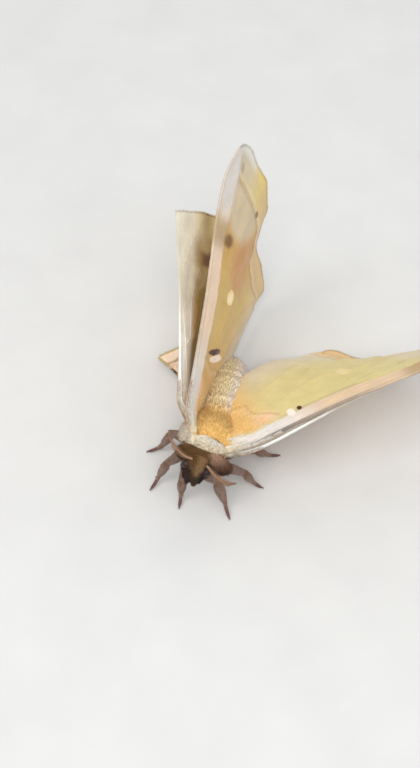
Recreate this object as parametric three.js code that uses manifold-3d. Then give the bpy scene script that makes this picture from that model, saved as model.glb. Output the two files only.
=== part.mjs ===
// A female giant silk moth, freshly out of her cocoon, life size, in a standing pose:
// her right wings are raised and swept back, her left wings are held out low to the side.
// Millimetres, +Z up, floor at z = 0, head toward -Y, her left side toward +X.
import * as THREE from "three";
import { mergeVertices } from "three/addons/utils/BufferGeometryUtils.js";
import Module from "manifold-3d";

const wasm = await Module();
wasm.setup();

const { PI, sin, cos, max, exp, log1p, sign, abs, pow } = Math;
const DEGREE = PI / 180;

// ---------------------------------------------------------------- driving dimensions
const FOREWING_LENGTH = 68; // root to apex
const FOREWING_DEPTH = 36; // front edge to rear corner
const HINDWING_LENGTH = 50;
const HINDWING_DEPTH = 40;
const WING_THICKNESS = 0.62; // at the outer edge
const VEIN_THICKNESS = 0.9; // extra thickness of the front edge at the root

const THORAX_HEIGHT = 14; // centre of the thorax above the floor
const BODY_PITCH = 18 * DEGREE; // head up
const BODY_ROLL = 17 * DEGREE; // left side down
const ORIGIN_SHIFT = [-19.783, -23.563]; // thorax centre, seen from the centre of the part's box

const CLEARANCE = 0.3; // gap between two pieces that meet
const FLOOR_REST = 0.95; // height at which a wing edge comes to lie on the floor
const FLOOR_SOFTNESS = 0.8;
const FOOT_SINK = 0.25; // how much of a round foot is cut to a flat at the floor

const COLORS = {
  ochre: 0xc9a06a,
  cream: 0xd9cbb0,
  orange: 0xdb9c4e,
  brown: 0x6e4a2c,
  dark: 0x2a1a10,
  tan: 0xcdb087,
  leg: 0x94745c,
};

// ---------------------------------------------------------------- frames
const v3 = (x, y, z) => new THREE.Vector3(x, y, z);
const turned = (vector, axis, angle) => vector.clone().applyAxisAngle(axis, angle);

// The body's own axes in the part's frame: left, back and up.
const BODY = (() => {
  const left = v3(1, 0, 0);
  const forward = turned(v3(0, -1, 0), left, -BODY_PITCH);
  const up = turned(v3(0, 0, 1), left, -BODY_PITCH);
  return {
    left: turned(left, forward, -BODY_ROLL),
    back: forward.clone().negate(),
    up: turned(up, forward, -BODY_ROLL),
  };
})();
const THORAX_CENTRE = v3(ORIGIN_SHIFT[0], ORIGIN_SHIFT[1], THORAX_HEIGHT);

// A direction, or a place, given as left, back and up of the thorax centre.
const bodyDirection = (l, b, u) =>
  v3(0, 0, 0)
    .addScaledVector(BODY.left, l)
    .addScaledVector(BODY.back, b)
    .addScaledVector(BODY.up, u);
const bodyPoint = (l, b, u) => bodyDirection(l, b, u).add(THORAX_CENTRE);
// A place given on the floor plan around the thorax centre, with its height.
const floorPoint = (x, y, z) => v3(x + ORIGIN_SHIFT[0], y + ORIGIN_SHIFT[1], z);

// ---------------------------------------------------------------- wings
// A wing's outline lies in its own plane: s runs from the root to the apex, c to the rear.
const FORE_OUTLINE = {
  front: [0, -1],
  rear: [0, 10],
  margin: [[65, -5.4], [67.4, 3], [64.4, 9.6], [59.4, 17.4], [50, 26], [37.4, 37.8], [33.9, 34.6]],
  frontBulge: 3.439,
  frontSkew: 3.563,
  rearBulge: 3.859,
};
const HIND_OUTLINE = {
  front: [0, -1],
  rear: [0, 6],
  margin: [[50.6, -2.8], [52.2, 1.5], [53.4, 7], [52.6, 15.6], [44, 25], [33.5, 28.8], [23.5, 31.5]],
  frontBulge: 5,
  frontSkew: 0.5,
  rearBulge: 0,
};
const CURLED_HIND_OUTLINE = {
  ...HIND_OUTLINE,
  margin: [[51, -2.5], [51.4, 1.5], [51.8, 7], [51.4, 15.7], [44.5, 25.1], [29.5, 26.1], [21, 36]],
  frontBulge: 1.5,
  frontSkew: 0.31,
};
const CURL_DEPTH = 6; // from the line where a front edge begins to curl down

// The point at u from root to margin and v from the front edge to the rear edge.
function planform(outline, u, v) {
  const margin = (outline.curve ??= new THREE.SplineCurve(
    outline.margin.map(([s, c]) => new THREE.Vector2(s, c)),
  ));
  const front = new THREE.Vector2(...outline.front);
  const rear = new THREE.Vector2(...outline.rear);
  const frontLine = margin.getPointAt(0).sub(front).normalize();
  const rearLine = margin.getPointAt(1).sub(rear).normalize();
  const frontPush = outline.frontBulge * sin(PI * pow(u, outline.frontSkew)) * (1 - v) ** 2;
  const rearPush = outline.rearBulge * sin(PI * u) * v ** 2;
  return front
    .clone()
    .lerp(rear, v)
    .lerp(margin.getPointAt(v), u)
    .add(new THREE.Vector2(frontLine.y, -frontLine.x).multiplyScalar(frontPush))
    .add(new THREE.Vector2(-rearLine.y, rearLine.x).multiplyScalar(rearPush));
}

// Each wing's pose: its root, and the directions of its span and chord at the root, as left,
// back and up of the body; then how far it bends, twists and arches, and its front edge curls, in
// radians. Its flutes are waves along the margin, each with a height, a number of waves and a phase.
const FORE_RIGHT = {
  side: -1,
  root: [-6.536, -2.266, 2.114],
  span: [-0.221, 0.655, 0.717],
  chord: [0.36, 0.726, -0.582],
  bend: 0.082,
  twist: 0.154,
  arch: -0.18,
  archPower: 1,
  frontCurl: 0,
  length: FOREWING_LENGTH,
  depth: FOREWING_DEPTH,
  flutes: [[1.169, 2.164, 2.442], [0.252, 3.666, -4.424]],
};
const FORE_LEFT = {
  side: 1,
  root: [5.676, -2.717, 2.506],
  span: [0.579, 0.451, 0.678],
  chord: [-0.571, 0.819, -0.015],
  bend: -0.487,
  twist: -0.936,
  arch: -0.275,
  archPower: 1,
  frontCurl: 0,
  length: FOREWING_LENGTH,
  depth: FOREWING_DEPTH,
  flutes: [[3.133, 0.437, 1.195], [0.315, 4.162, -2.256]],
};
const HIND_RIGHT = {
  side: -1,
  root: [-7.59, 2.35, 0.52],
  span: [-0.31, 0.754, 0.578],
  chord: [0.313, 0.641, -0.69],
  bend: -0.129,
  twist: 0.793,
  arch: -3.2,
  archPower: 2,
  frontCurl: 1.14,
  length: HINDWING_LENGTH,
  depth: HINDWING_DEPTH,
  flutes: [[0.5, 3, 0]],
};
// The left hind wing lies under the forewing, follows its surface and sags away from it to the rear.
const HIND_LEFT_UNDER_FORE = { turn: -1 * DEGREE, root: [-3, 5], below: 2, sag: 5.3 };

// The wing's middle surface at s and c: a point and the upward normal there.
function wingSurface(pose, s, c) {
  const steps = 24;
  const span = bodyDirection(...pose.span).normalize();
  const chord = bodyDirection(...pose.chord);
  chord.addScaledVector(span, -chord.dot(span)).normalize();
  const normal = v3(0, 0, 0).crossVectors(span, chord).multiplyScalar(pose.side);
  const point = bodyPoint(...pose.root);
  for (let i = 0; i < steps; i++) {
    const angle = (pose.bend * s * (i + 0.5)) / steps / pose.length;
    point.addScaledVector(span, (cos(angle) * s) / steps);
    point.addScaledVector(normal, (sin(angle) * s) / steps);
  }
  const bent = (pose.bend * s) / pose.length;
  const bentNormal = v3(0, 0, 0).addScaledVector(span, -sin(bent)).addScaledVector(normal, cos(bent));
  const twist = (pose.twist * max(s, 0)) / pose.length;
  const across = chord.clone().multiplyScalar(cos(twist)).addScaledVector(bentNormal, sin(twist));
  const out = bentNormal.clone().multiplyScalar(cos(twist)).addScaledVector(chord, -sin(twist));
  const archAt = (depth) =>
    pose.arch * sign(depth) * pow(abs(depth / pose.depth), pose.archPower) +
    (pose.frontCurl * max(-depth, 0)) / CURL_DEPTH;
  for (let i = 0; i < steps; i++) {
    const angle = archAt((c * (i + 0.5)) / steps);
    point.addScaledVector(across, (cos(angle) * c) / steps);
    point.addScaledVector(out, (sin(angle) * c) / steps);
  }
  const arched = archAt(c);
  const upward = out.clone().multiplyScalar(cos(arched)).addScaledVector(across, -sin(arched));
  return { point, upward };
}

function fluteHeight(flutes, u, v) {
  const wave = ([height, waves, phase]) => height * sin(2 * PI * waves * v + phase);
  return flutes.map(wave).reduce((sum, height) => sum + height, 0) * u ** 3;
}

// Soft wing edges come to lie on the floor instead of passing through it.
function layOnFloor(point) {
  point.z = FLOOR_REST + FLOOR_SOFTNESS * log1p(exp((point.z - FLOOR_REST) / FLOOR_SOFTNESS));
  return point;
}

function ownSurface(outline, pose) {
  return (u, v) => {
    const { x: s, y: c } = planform(outline, u, v);
    const { point, upward } = wingSurface(pose, s, c);
    return layOnFloor(point.addScaledVector(upward, fluteHeight(pose.flutes, u, v)));
  };
}

function nestedSurface(outline, pose, nest) {
  return (u, v) => {
    const { x: s, y: c } = planform(outline, u, v);
    const turnedS = s * cos(nest.turn) - c * sin(nest.turn) + nest.root[0];
    const turnedC = s * sin(nest.turn) + c * cos(nest.turn) + nest.root[1];
    const { point, upward } = wingSurface(pose, turnedS, turnedC);
    const sag = nest.sag * (max(turnedC, 0) / HINDWING_DEPTH) ** 2;
    return layOnFloor(point.addScaledVector(upward, -nest.below - sag));
  };
}

// A closed solid of the wing's thickness around its middle surface.
function wingSolid(surface, side, spanSteps, chordSteps) {
  const positions = [];
  const index = [];
  const row = chordSteps + 1;
  const layer = (spanSteps + 1) * row;
  const delta = 1e-3;
  for (const face of [1, -1]) {
    for (let i = 0; i <= spanSteps; i++) {
      for (let j = 0; j <= chordSteps; j++) {
        const u = i / spanSteps;
        const v = j / chordSteps;
        const here = surface(u, v);
        const alongU = surface(u + (u < 0.5 ? delta : -delta), v).sub(here).multiplyScalar(u < 0.5 ? 1 : -1);
        const alongV = surface(u, v + (v < 0.5 ? delta : -delta)).sub(here).multiplyScalar(v < 0.5 ? 1 : -1);
        const normal = v3(0, 0, 0).crossVectors(alongU, alongV).normalize().multiplyScalar(side);
        const thickness = WING_THICKNESS + VEIN_THICKNESS * (1 - u) * (1 - v) ** 4;
        here.addScaledVector(normal, (face * thickness) / 2);
        positions.push(here.x, here.y, here.z);
      }
    }
  }
  const quad = (a, b, c, d) => {
    if (side > 0) index.push(a, b, c, a, c, d);
    else index.push(a, c, b, a, d, c);
  };
  for (let i = 0; i < spanSteps; i++) {
    for (let j = 0; j < chordSteps; j++) {
      const a = i * row + j;
      quad(a, a + row, a + row + 1, a + 1);
      quad(layer + a, layer + a + 1, layer + a + row + 1, layer + a + row);
    }
    const front = i * row;
    const rear = front + chordSteps;
    quad(layer + front, layer + front + row, front + row, front);
    quad(rear, rear + row, layer + rear + row, layer + rear);
  }
  for (let j = 0; j < chordSteps; j++) {
    const tip = spanSteps * row + j;
    quad(j, j + 1, layer + j + 1, layer + j);
    quad(layer + tip, layer + tip + 1, tip + 1, tip);
  }
  return closedGeometry(positions, index);
}

// ---------------------------------------------------------------- lofts
function closedGeometry(positions, index) {
  const geometry = new THREE.BufferGeometry();
  geometry.setAttribute("position", new THREE.Float32BufferAttribute(positions, 3));
  geometry.setIndex(index);
  return geometry;
}

// Rings from a start pole to an end pole. A ring has a centre and two half axes, and turns
// from across to upward clockwise as seen from the end pole.
function loft(start, rings, end, sides) {
  const positions = [start.x, start.y, start.z];
  const index = [];
  for (const { centre, across, upward } of rings) {
    for (let k = 0; k < sides; k++) {
      const angle = (2 * PI * k) / sides;
      const point = centre.clone().addScaledVector(across, cos(angle)).addScaledVector(upward, sin(angle));
      positions.push(point.x, point.y, point.z);
    }
  }
  positions.push(end.x, end.y, end.z);
  const last = rings.length * sides + 1;
  for (let k = 0; k < sides; k++) {
    const next = (k + 1) % sides;
    index.push(0, 1 + k, 1 + next);
    for (let r = 0; r + 1 < rings.length; r++) {
      const a = 1 + r * sides;
      const b = a + sides;
      index.push(a + k, b + k, b + next, a + k, b + next, a + next);
    }
    const base = last - sides;
    index.push(base + k, last, base + next);
  }
  return closedGeometry(positions, index);
}

// A tapering limb along points; widths are the half axes [across, upward] at each point.
function limb(points, widths, sides, grow = 0, ringsEach = 2, flatAxis = v3(0, 0, 1)) {
  const radii = widths.map((pair) => pair.map((width) => width + grow));
  const path = new THREE.CatmullRomCurve3(points, false, "centripetal");
  const steps = (points.length - 1) * ringsEach;
  const rings = [];
  for (let i = 0; i <= steps; i++) {
    const t = i / steps;
    const at = t * (points.length - 1);
    const k = Math.min(Math.floor(at), points.length - 2);
    const [wide, high] = [0, 1].map((n) => radii[k][n] + (radii[k + 1][n] - radii[k][n]) * (at - k));
    const tangent = path.getTangent(t);
    const across = v3(0, 0, 0).crossVectors(flatAxis, tangent).normalize();
    const upward = v3(0, 0, 0).crossVectors(across, tangent);
    rings.push({
      centre: path.getPoint(t),
      across: across.multiplyScalar(wide),
      upward: upward.multiplyScalar(high),
    });
  }
  const tip = (t, way) => {
    const reach = radii[t ? radii.length - 1 : 0][1] * 0.5;
    return path.getPoint(t).addScaledVector(path.getTangent(t), way * reach);
  };
  return loft(tip(0, -1), rings, tip(1, 1), sides);
}

// An egg shape with its own half axes, placed and turned with the body.
function bodyEgg([l, b, u], [wide, long, high], grow = 0, detail = 20) {
  const geometry = new THREE.SphereGeometry(1, detail, Math.round(detail * 0.64));
  const position = geometry.getAttribute("position");
  for (let i = 0; i < position.count; i++) {
    const [x, y, z] = [position.getX(i), position.getY(i), position.getZ(i)];
    const point = bodyPoint(l + x * (wide + grow), b + y * (long + grow), u + z * (high + grow));
    position.setXYZ(i, point.x, point.y, point.z);
  }
  return geometry;
}

// ---------------------------------------------------------------- joining and cutting
function toSolid(geometry) {
  const bare = geometry.clone();
  bare.deleteAttribute("normal");
  bare.deleteAttribute("uv");
  const merged = mergeVertices(bare, 1e-4);
  const mesh = new wasm.Mesh({
    numProp: 3,
    vertProperties: new Float32Array(merged.attributes.position.array),
    triVerts: new Uint32Array(merged.index.array),
  });
  return new wasm.Manifold(mesh);
}

function toGeometry(solid) {
  const { vertProperties, triVerts } = solid.getMesh();
  return closedGeometry(Array.from(vertProperties), Array.from(triVerts));
}

// The largest body that is left of a piece once its neighbours are taken away.
function carve(geometry, ...cutters) {
  let solid = toSolid(geometry);
  for (const cutter of cutters) solid = solid.subtract(cutter);
  const [largest] = solid.decompose().sort((a, b) => b.volume() - a.volume());
  return toGeometry(largest);
}

const union = (...geometries) =>
  geometries.map(toSolid).reduce((joined, solid) => joined.add(solid));

// Everything under the floor, which gives each foot its small flat.
const FLOOR = (() => {
  const block = new THREE.BoxGeometry(400, 400, 20);
  block.translate(0, 0, -10);
  return toSolid(block);
})();

// ---------------------------------------------------------------- head, thorax, abdomen
const THORAX = { centre: [0, 3.2, -0.4], half: [7, 8.2, 5.8] };
const COLLAR = { centre: [-0.5, -4, 0.8], half: [5.5, 2.6, 4.4] };
const WAIST = { centre: [0, 7.5, -0.4], half: [6.1, 13, 5.8] };
const FLANK = { centre: [3.2, 2, 0.4], half: [4.8, 6.5, 4.4] }; // where the left wing sits on the thorax
const NAPE = { centre: [-0.2, -6, -0.5], half: [6.6, 2.3, 2.9] };
const SHOULDERS = [
  { centre: [3.9, -2, 2.3], half: [2.4, 2.6, 2.1] },
  { centre: [-6.1, -2.2, 1.1], half: [2.7, 3.7, 2.7] },
  { centre: [-4.4, -3.6, 1.3], half: [2.8, 2.5, 2.7] },
];
const HEAD = { centre: [-1.2, -8, -1.5], half: [3.5, 2.8, 3.4] };

const thoraxSolid = (grow) =>
  union(
    ...[THORAX, COLLAR, WAIST, FLANK, NAPE, ...SHOULDERS].map(({ centre, half }) => bodyEgg(centre, half, grow)),
  );

const ABDOMEN_START = 9;
const ABDOMEN_END = 35.5;
const ABDOMEN_DROOP = 2.6;
const ABDOMEN_WIDEST = 6.1;
const SEGMENTS = 7;

// Half width of the abdomen at t from waist to tip: fat in the middle, with shallow rings.
function abdomenRadius(t) {
  const body = pow(sin(PI * (0.24 + 0.71 * t)), 0.62);
  const ring = 1 - 0.03 * pow(abs(cos(PI * SEGMENTS * t)), 4);
  return ABDOMEN_WIDEST * body * ring;
}

function abdomenGeometry(grow) {
  const rings = [];
  const steps = 2 * SEGMENTS;
  for (let i = 0; i <= steps; i++) {
    const t = i / steps;
    const radius = abdomenRadius(t) + grow;
    rings.push({
      centre: bodyPoint(0, ABDOMEN_START + (ABDOMEN_END - ABDOMEN_START) * t, -ABDOMEN_DROOP * t * t),
      across: bodyDirection(radius, 0, 0),
      upward: bodyDirection(0, 0, radius * 0.93),
    });
  }
  const start = bodyPoint(0, ABDOMEN_START - 0.5 - grow, 0);
  const end = bodyPoint(0, ABDOMEN_END + 0.7 + grow, -ABDOMEN_DROOP);
  return loft(start, rings, end, 20);
}

// ---------------------------------------------------------------- legs
// Each leg's hip on the body, knee, ankle and toe on the floor plan around the thorax centre, and girth.
const LEGS = {
  fore_left: [[0.6, -5, -4.6], [2.6, -6.4, 7.8], [5.0, -8.6, 2.7], [6.7, -11.4], 1],
  fore_right: [[-2.6, -5, -4.6], [-5.2, -7.4, 7.0], [-5.4, -8.4, 2.3], [-5.3, -11], 0.85],
  mid_left: [[3.6, -1.4, -4.6], [8.3, -2.0, 6.0], [10.4, -1.6, 2.0], [12.6, -1.8], 0.75],
  mid_right: [[-3.9, -1.2, -4.4], [-9.6, -3.8, 7.3], [-11.6, -5.0, 2.3], [-12.9, -7.6], 0.8],
  hind_left: [[3.6, 3.8, -5], [9.4, 5.4, 4.6], [12.4, 6.6, 1.8], [15, 7.8], 0.75],
  hind_right: [[-3.8, 3.4, -4.8], [-10.4, 4.6, 7.0], [-13, 3.4, 2.1], [-16, 2.4], 0.8],
};
const FEMUR_RADII = [[1.15, 1.2], [1.6, 1.7], [1.15, 1.2]];
const TIBIA_RADII = [[1.1, 1.15], [1.5, 1.5], [0.85, 0.85]];
const TARSUS_RADII = [[0.72, 0.68], [0.6, 0.52], [0.5, 0.42]];
const LIMB_SIDES = 8;

// The straight stretch between two joints.
const stretch = (from, to) => [from, from.clone().lerp(to, 0.5), to];

// A leg's three segments; each gives way to the one above it at their joint.
function legPieces([hip, knee, ankle, toe, girth]) {
  const kneePoint = floorPoint(...knee);
  const anklePoint = floorPoint(...ankle);
  const toePoint = floorPoint(...toe, TARSUS_RADII[2][1] - FOOT_SINK);
  const thick = (radii) => radii.map((pair) => pair.map((radius) => radius * girth));
  const femur = (grow) => limb(stretch(bodyPoint(...hip), kneePoint), thick(FEMUR_RADII), LIMB_SIDES, grow);
  const tibia = (grow) => limb(stretch(kneePoint, anklePoint), thick(TIBIA_RADII), LIMB_SIDES, grow);
  const tarsus = limb(stretch(anklePoint, toePoint), TARSUS_RADII, LIMB_SIDES);
  return {
    femur: femur(0),
    tibia: carve(tibia(0), toSolid(femur(CLEARANCE))),
    tarsus: carve(tarsus, toSolid(tibia(CLEARANCE))),
  };
}

// ---------------------------------------------------------------- antennae
// Feathered, so each is a flat tapering blade; points are left, back and up of the thorax.
const ANTENNAE = {
  left: [[0.6, -9.9, 1.3], [2.6, -11.2, 1.0], [5.0, -10.8, -0.4], [7.2, -9.0, -2.0], [8.6, -6.6, -3.2]],
  right: [[-3.0, -9.8, 1.4], [-5.2, -10.2, 1.8], [-7.6, -8.6, 1.6], [-9.2, -5.6, 0.8], [-9.8, -2.6, 0.2]],
};
const ANTENNA_RADII = [[0.34, 0.34], [1.0, 0.34], [1.35, 0.32], [1.1, 0.3], [0.3, 0.27]];

// ---------------------------------------------------------------- assembly
const root = new THREE.Group();

function addNode(name, geometry, color, roughness = 0.85) {
  const material = new THREE.MeshStandardMaterial({ color, roughness, metalness: 0 });
  const mesh = new THREE.Mesh(geometry, material);
  mesh.name = name;
  root.add(mesh);
}

const thoraxGrown = thoraxSolid(CLEARANCE);
const abdomenGrown = toSolid(abdomenGeometry(CLEARANCE));
const headGrown = toSolid(bodyEgg(HEAD.centre, HEAD.half, CLEARANCE));

addNode("thorax", toGeometry(thoraxSolid(0)), COLORS.orange);
addNode("head", carve(bodyEgg(HEAD.centre, HEAD.half), thoraxGrown), COLORS.brown);
addNode("abdomen", carve(abdomenGeometry(0), thoraxGrown, FLOOR), COLORS.tan);

const EYE_RADIUS = 1.15;
const EYE_OFFSET = [2.4, -1.15, 0.35]; // from the centre of the head, mirrored for the right eye
for (const [name, side] of [["left", 1], ["right", -1]]) {
  const place = HEAD.centre.map((value, k) => value + EYE_OFFSET[k] * (k ? 1 : side));
  const eye = bodyEgg(place, [EYE_RADIUS, EYE_RADIUS, EYE_RADIUS], 0, 14);
  addNode("eye_" + name, carve(eye, headGrown), COLORS.dark, 0.25);
  const points = ANTENNAE[name].map((p) => bodyPoint(...p));
  const blade = limb(points, ANTENNA_RADII, LIMB_SIDES, 0, 3, BODY.back);
  addNode("antenna_" + name, carve(blade, headGrown, thoraxGrown), COLORS.ochre);
}

const WINGS = {
  forewing_left: [ownSurface(FORE_OUTLINE, FORE_LEFT), 1, 20, 12],
  forewing_right: [ownSurface(FORE_OUTLINE, FORE_RIGHT), -1, 20, 12],
  hindwing_left: [nestedSurface(HIND_OUTLINE, FORE_LEFT, HIND_LEFT_UNDER_FORE), 1, 16, 12],
  hindwing_right: [ownSurface(CURLED_HIND_OUTLINE, HIND_RIGHT), -1, 16, 14],
};
for (const [name, wing] of Object.entries(WINGS))
  addNode(name, carve(wingSolid(...wing), thoraxGrown, abdomenGrown), COLORS.cream);

for (const [name, leg] of Object.entries(LEGS)) {
  for (const [piece, geometry] of Object.entries(legPieces(leg)))
    addNode(piece + "_" + name, carve(geometry, thoraxGrown, headGrown, abdomenGrown, FLOOR), COLORS.leg);
}

export default root;
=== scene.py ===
"""The looks of a life-size female giant silk moth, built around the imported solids.

Places and lengths are in millimetres, in the frame of the solids, until make_piece writes a mesh in metres.
Body places are left, back and up of the thorax centre. Wing places are s, from the root to the apex, and c,
from the front edge to the rear. The share u runs from the root to the margin, and v from front to rear.
"""
from itertools import product
from math import cos, pi, radians, sin

import bpy
import numpy as np
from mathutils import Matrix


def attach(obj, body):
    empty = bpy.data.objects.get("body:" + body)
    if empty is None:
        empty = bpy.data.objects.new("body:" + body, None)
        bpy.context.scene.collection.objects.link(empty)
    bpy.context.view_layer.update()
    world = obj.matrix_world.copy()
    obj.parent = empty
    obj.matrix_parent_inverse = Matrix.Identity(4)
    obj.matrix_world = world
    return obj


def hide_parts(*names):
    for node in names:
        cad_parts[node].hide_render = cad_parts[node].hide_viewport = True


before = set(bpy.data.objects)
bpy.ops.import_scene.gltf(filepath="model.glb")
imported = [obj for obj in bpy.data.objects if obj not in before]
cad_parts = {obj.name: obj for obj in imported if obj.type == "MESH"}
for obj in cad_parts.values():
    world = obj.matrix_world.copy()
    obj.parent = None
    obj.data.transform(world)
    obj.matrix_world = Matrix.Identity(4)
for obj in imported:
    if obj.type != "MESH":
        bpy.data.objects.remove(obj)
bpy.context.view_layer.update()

MM = 0.001
RANDOM = np.random.default_rng(7)


# ------------------------------------------------------------------ frames, as in the solids
ORIGIN_SHIFT = (-19.783, -23.563)
THORAX_HEIGHT = 14
BODY_PITCH = radians(18)
BODY_ROLL = radians(17)
FLOOR_REST = 0.95
FLOOR_SOFTNESS = 0.8


def unit(vector):
    return vector / np.maximum(np.linalg.norm(vector, axis=-1, keepdims=True), 1e-9)


def turned(vector, axis, angle):
    vector, axis = np.asarray(vector, float), np.asarray(axis, float)
    flat = axis * (vector @ axis)
    return flat + (vector - flat) * cos(angle) + np.cross(axis, vector) * sin(angle)


def body_axes():
    left = np.array([1.0, 0, 0])
    forward = turned([0, -1, 0], left, -BODY_PITCH)
    up = turned([0, 0, 1], left, -BODY_PITCH)
    return np.array([turned(left, forward, -BODY_ROLL), -forward, turned(up, forward, -BODY_ROLL)])


BODY = body_axes()
BACK = BODY[1]
THORAX_CENTRE = np.array([*ORIGIN_SHIFT, THORAX_HEIGHT])


def body_direction(place):
    return np.asarray(place, float) @ BODY


def body_point(place):
    return body_direction(place) + THORAX_CENTRE


def body_place(point):
    return (np.asarray(point, float) - THORAX_CENTRE) @ BODY.T


def floor_point(x, y, z):
    return np.array([x + ORIGIN_SHIFT[0], y + ORIGIN_SHIFT[1], z])


# ------------------------------------------------------------------ camera and light
CAMERA_OFFSET = (31.36, -148.73)  # from the thorax centre, seen from above
CAMERA_HEIGHT = 254.03
CAMERA_TURN = (radians(35), 0, radians(12))
CAMERA_LENS = 57.75
CAMERA_NEAR = 0.01  # metres
LIGHTS = (  # name, place and size in metres, watts, colour
    ("key", (-0.3, -0.24, 0.6), 0.34, 1.5, (1.0, 0.97, 0.92)),
    ("front", (0.06, -0.36, 0.58), 0.36, 1.5, (1.0, 0.98, 0.95)),
    ("fill", (0.55, -0.3, 0.45), 0.6, 0.9, (0.97, 0.97, 1.0)),
    ("back", (0.1, 0.6, 0.5), 0.5, 1.0, (1.0, 0.98, 0.95)),
)
SKY_COLOUR = (0.86, 0.9, 0.95, 1)
SKY_STRENGTH = 0.66


def add_object(name, data):
    made = bpy.data.objects.new(name, data)
    bpy.context.scene.collection.objects.link(made)
    return made


def add_camera():
    data = bpy.data.cameras.new("camera")
    data.lens = CAMERA_LENS
    data.clip_start = CAMERA_NEAR
    camera = add_object("camera", data)
    x, y, _ = THORAX_CENTRE
    camera.location = ((x + CAMERA_OFFSET[0]) * MM, (y + CAMERA_OFFSET[1]) * MM, CAMERA_HEIGHT * MM)
    camera.rotation_euler = CAMERA_TURN
    bpy.context.scene.camera = camera


def add_studio():
    for name, place, size, watts, colour in LIGHTS:
        data = bpy.data.lights.new(name, "AREA")
        data.size = size
        data.energy = watts
        data.color = colour
        light = add_object(name, data)
        light.location = place
        towards = -light.location.normalized()
        light.rotation_euler = towards.to_track_quat("-Z", "Y").to_euler()
    world = bpy.data.worlds.new("studio")
    world.use_nodes = True
    background = world.node_tree.nodes["Background"]
    background.inputs["Color"].default_value = SKY_COLOUR
    background.inputs["Strength"].default_value = SKY_STRENGTH
    bpy.context.scene.world = world
    bpy.context.scene.view_settings.view_transform = "Standard"


# ------------------------------------------------------------------ materials
def srgb(red, green, blue):
    """A colour as read from a screen, 0 to 255, in Blender's linear numbers."""
    return tuple((value / 255) ** 2.2 for value in (red, green, blue)) + (1.0,)


def plug(tree, value, slot):
    """Links a number or a socket to an input of a node, or sets a constant there."""
    if isinstance(value, Number):
        value = value.socket
    if isinstance(value, bpy.types.NodeSocket):
        tree.links.new(value, slot)
    else:
        slot.default_value = value


def new_node(tree, kind, output, inputs, **settings):
    """Adds a node with its settings and inputs. Returns one of its outputs."""
    node = tree.nodes.new("ShaderNode" + kind)
    for name, value in settings.items():
        setattr(node, name, value)
    for slot, value in inputs.items():
        plug(tree, value, node.inputs[slot])
    return node.outputs[output]


class Number:
    """A number in a material's node tree, which takes part in arithmetic."""

    def __init__(self, tree, socket):
        self.tree = tree
        self.socket = socket

    def run(self, operation, *others):
        inputs = dict(enumerate((self, *others)))
        return Number(self.tree, new_node(self.tree, "Math", 0, inputs, operation=operation))

    def __add__(self, other):
        return self.run("ADD", other)

    def __mul__(self, other):
        return self.run("MULTIPLY", other)

    def __sub__(self, other):
        return self.run("SUBTRACT", other)

    def __truediv__(self, other):
        return self.run("DIVIDE", other)

    __radd__ = __add__

    def step(self, low, high):
        """0 below low and 1 above high, or the other way round where low is above high."""
        inputs = {"Value": self, "From Min": low, "From Max": high}
        made = new_node(self.tree, "MapRange", "Result", inputs, interpolation_type="SMOOTHSTEP")
        return Number(self.tree, made)

    def band(self, middle, half, soft):
        """1 within half of the middle, fading to 0 over soft."""
        return (self - middle).run("ABSOLUTE").step(half + soft, half)


def oval(s, c, middle, half):
    """A distance that is 1 on an oval's outline."""
    across_s, across_c = (s - middle[0]) / half[0], (c - middle[1]) / half[1]
    return (across_s * across_s + across_c * across_c).run("SQRT")


class Paint:
    """A material with a Principled shader and short names for the nodes that colour it."""

    def __init__(self, name, roughness, sheen=0.0, shine=0.25):
        self.material = bpy.data.materials.new(name)
        self.material.use_nodes = True
        self.tree = self.material.node_tree
        self.shader = self.tree.nodes["Principled BSDF"]
        self.shader.inputs["Roughness"].default_value = roughness
        self.shader.inputs["Sheen Weight"].default_value = sheen
        self.shader.inputs["Specular IOR Level"].default_value = shine

    def node(self, kind, output, inputs, **settings):
        return new_node(self.tree, kind, output, inputs, **settings)

    def join(self, x, y):
        return self.node("CombineXYZ", 0, {0: x, 1: y})

    def object_place(self):
        return self.node("TexCoord", "Object", {})

    def attribute(self, name, output="Vector"):
        return self.node("Attribute", output, {}, attribute_name=name)

    def vector(self, name):
        node = self.node("SeparateXYZ", 0, {0: self.attribute(name)}).node
        return [Number(self.tree, output) for output in node.outputs]

    def number(self, name):
        return Number(self.tree, self.attribute(name, "Fac"))

    def noise(self, vector, scale, detail=2.0):
        """Noise around zero, about -0.5 to 0.5. The scale is in cycles per unit of the vector."""
        inputs = {"Vector": vector, "Scale": scale, "Detail": detail}
        return Number(self.tree, self.node("TexNoise", "Fac", inputs)) - 0.5

    def mix(self, colour, over, share):
        """The colour, covered by the colour over as far as share says."""
        return self.node("Mix", 2, {0: share, 6: colour, 7: over}, data_type="RGBA", clamp_factor=True)

    def layers(self, colour, *covers):
        """The colour, covered by one colour after another, each as far as its share says."""
        for over, share in covers:
            colour = self.mix(colour, over, share)
        return colour

    def shade(self, colour, brightness):
        """The colour times a number."""
        return self.node("VectorMath", 0, {0: colour, "Scale": brightness}, operation="SCALE")

    def finish(self, colour, height=None, depth=0.02):
        """Sets the colour, and a bump whose height 1 is depth millimetres high."""
        plug(self.tree, colour, self.shader.inputs["Base Color"])
        if height is not None:
            bump = self.node("Bump", 0, {"Distance": depth * MM, "Height": height})
            plug(self.tree, bump, self.shader.inputs["Normal"])
        return self.material


FLOOR_HALF = 3.0  # metres
FLOOR_GAP = 0.03  # what is left under whatever would reach into the floor


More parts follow.
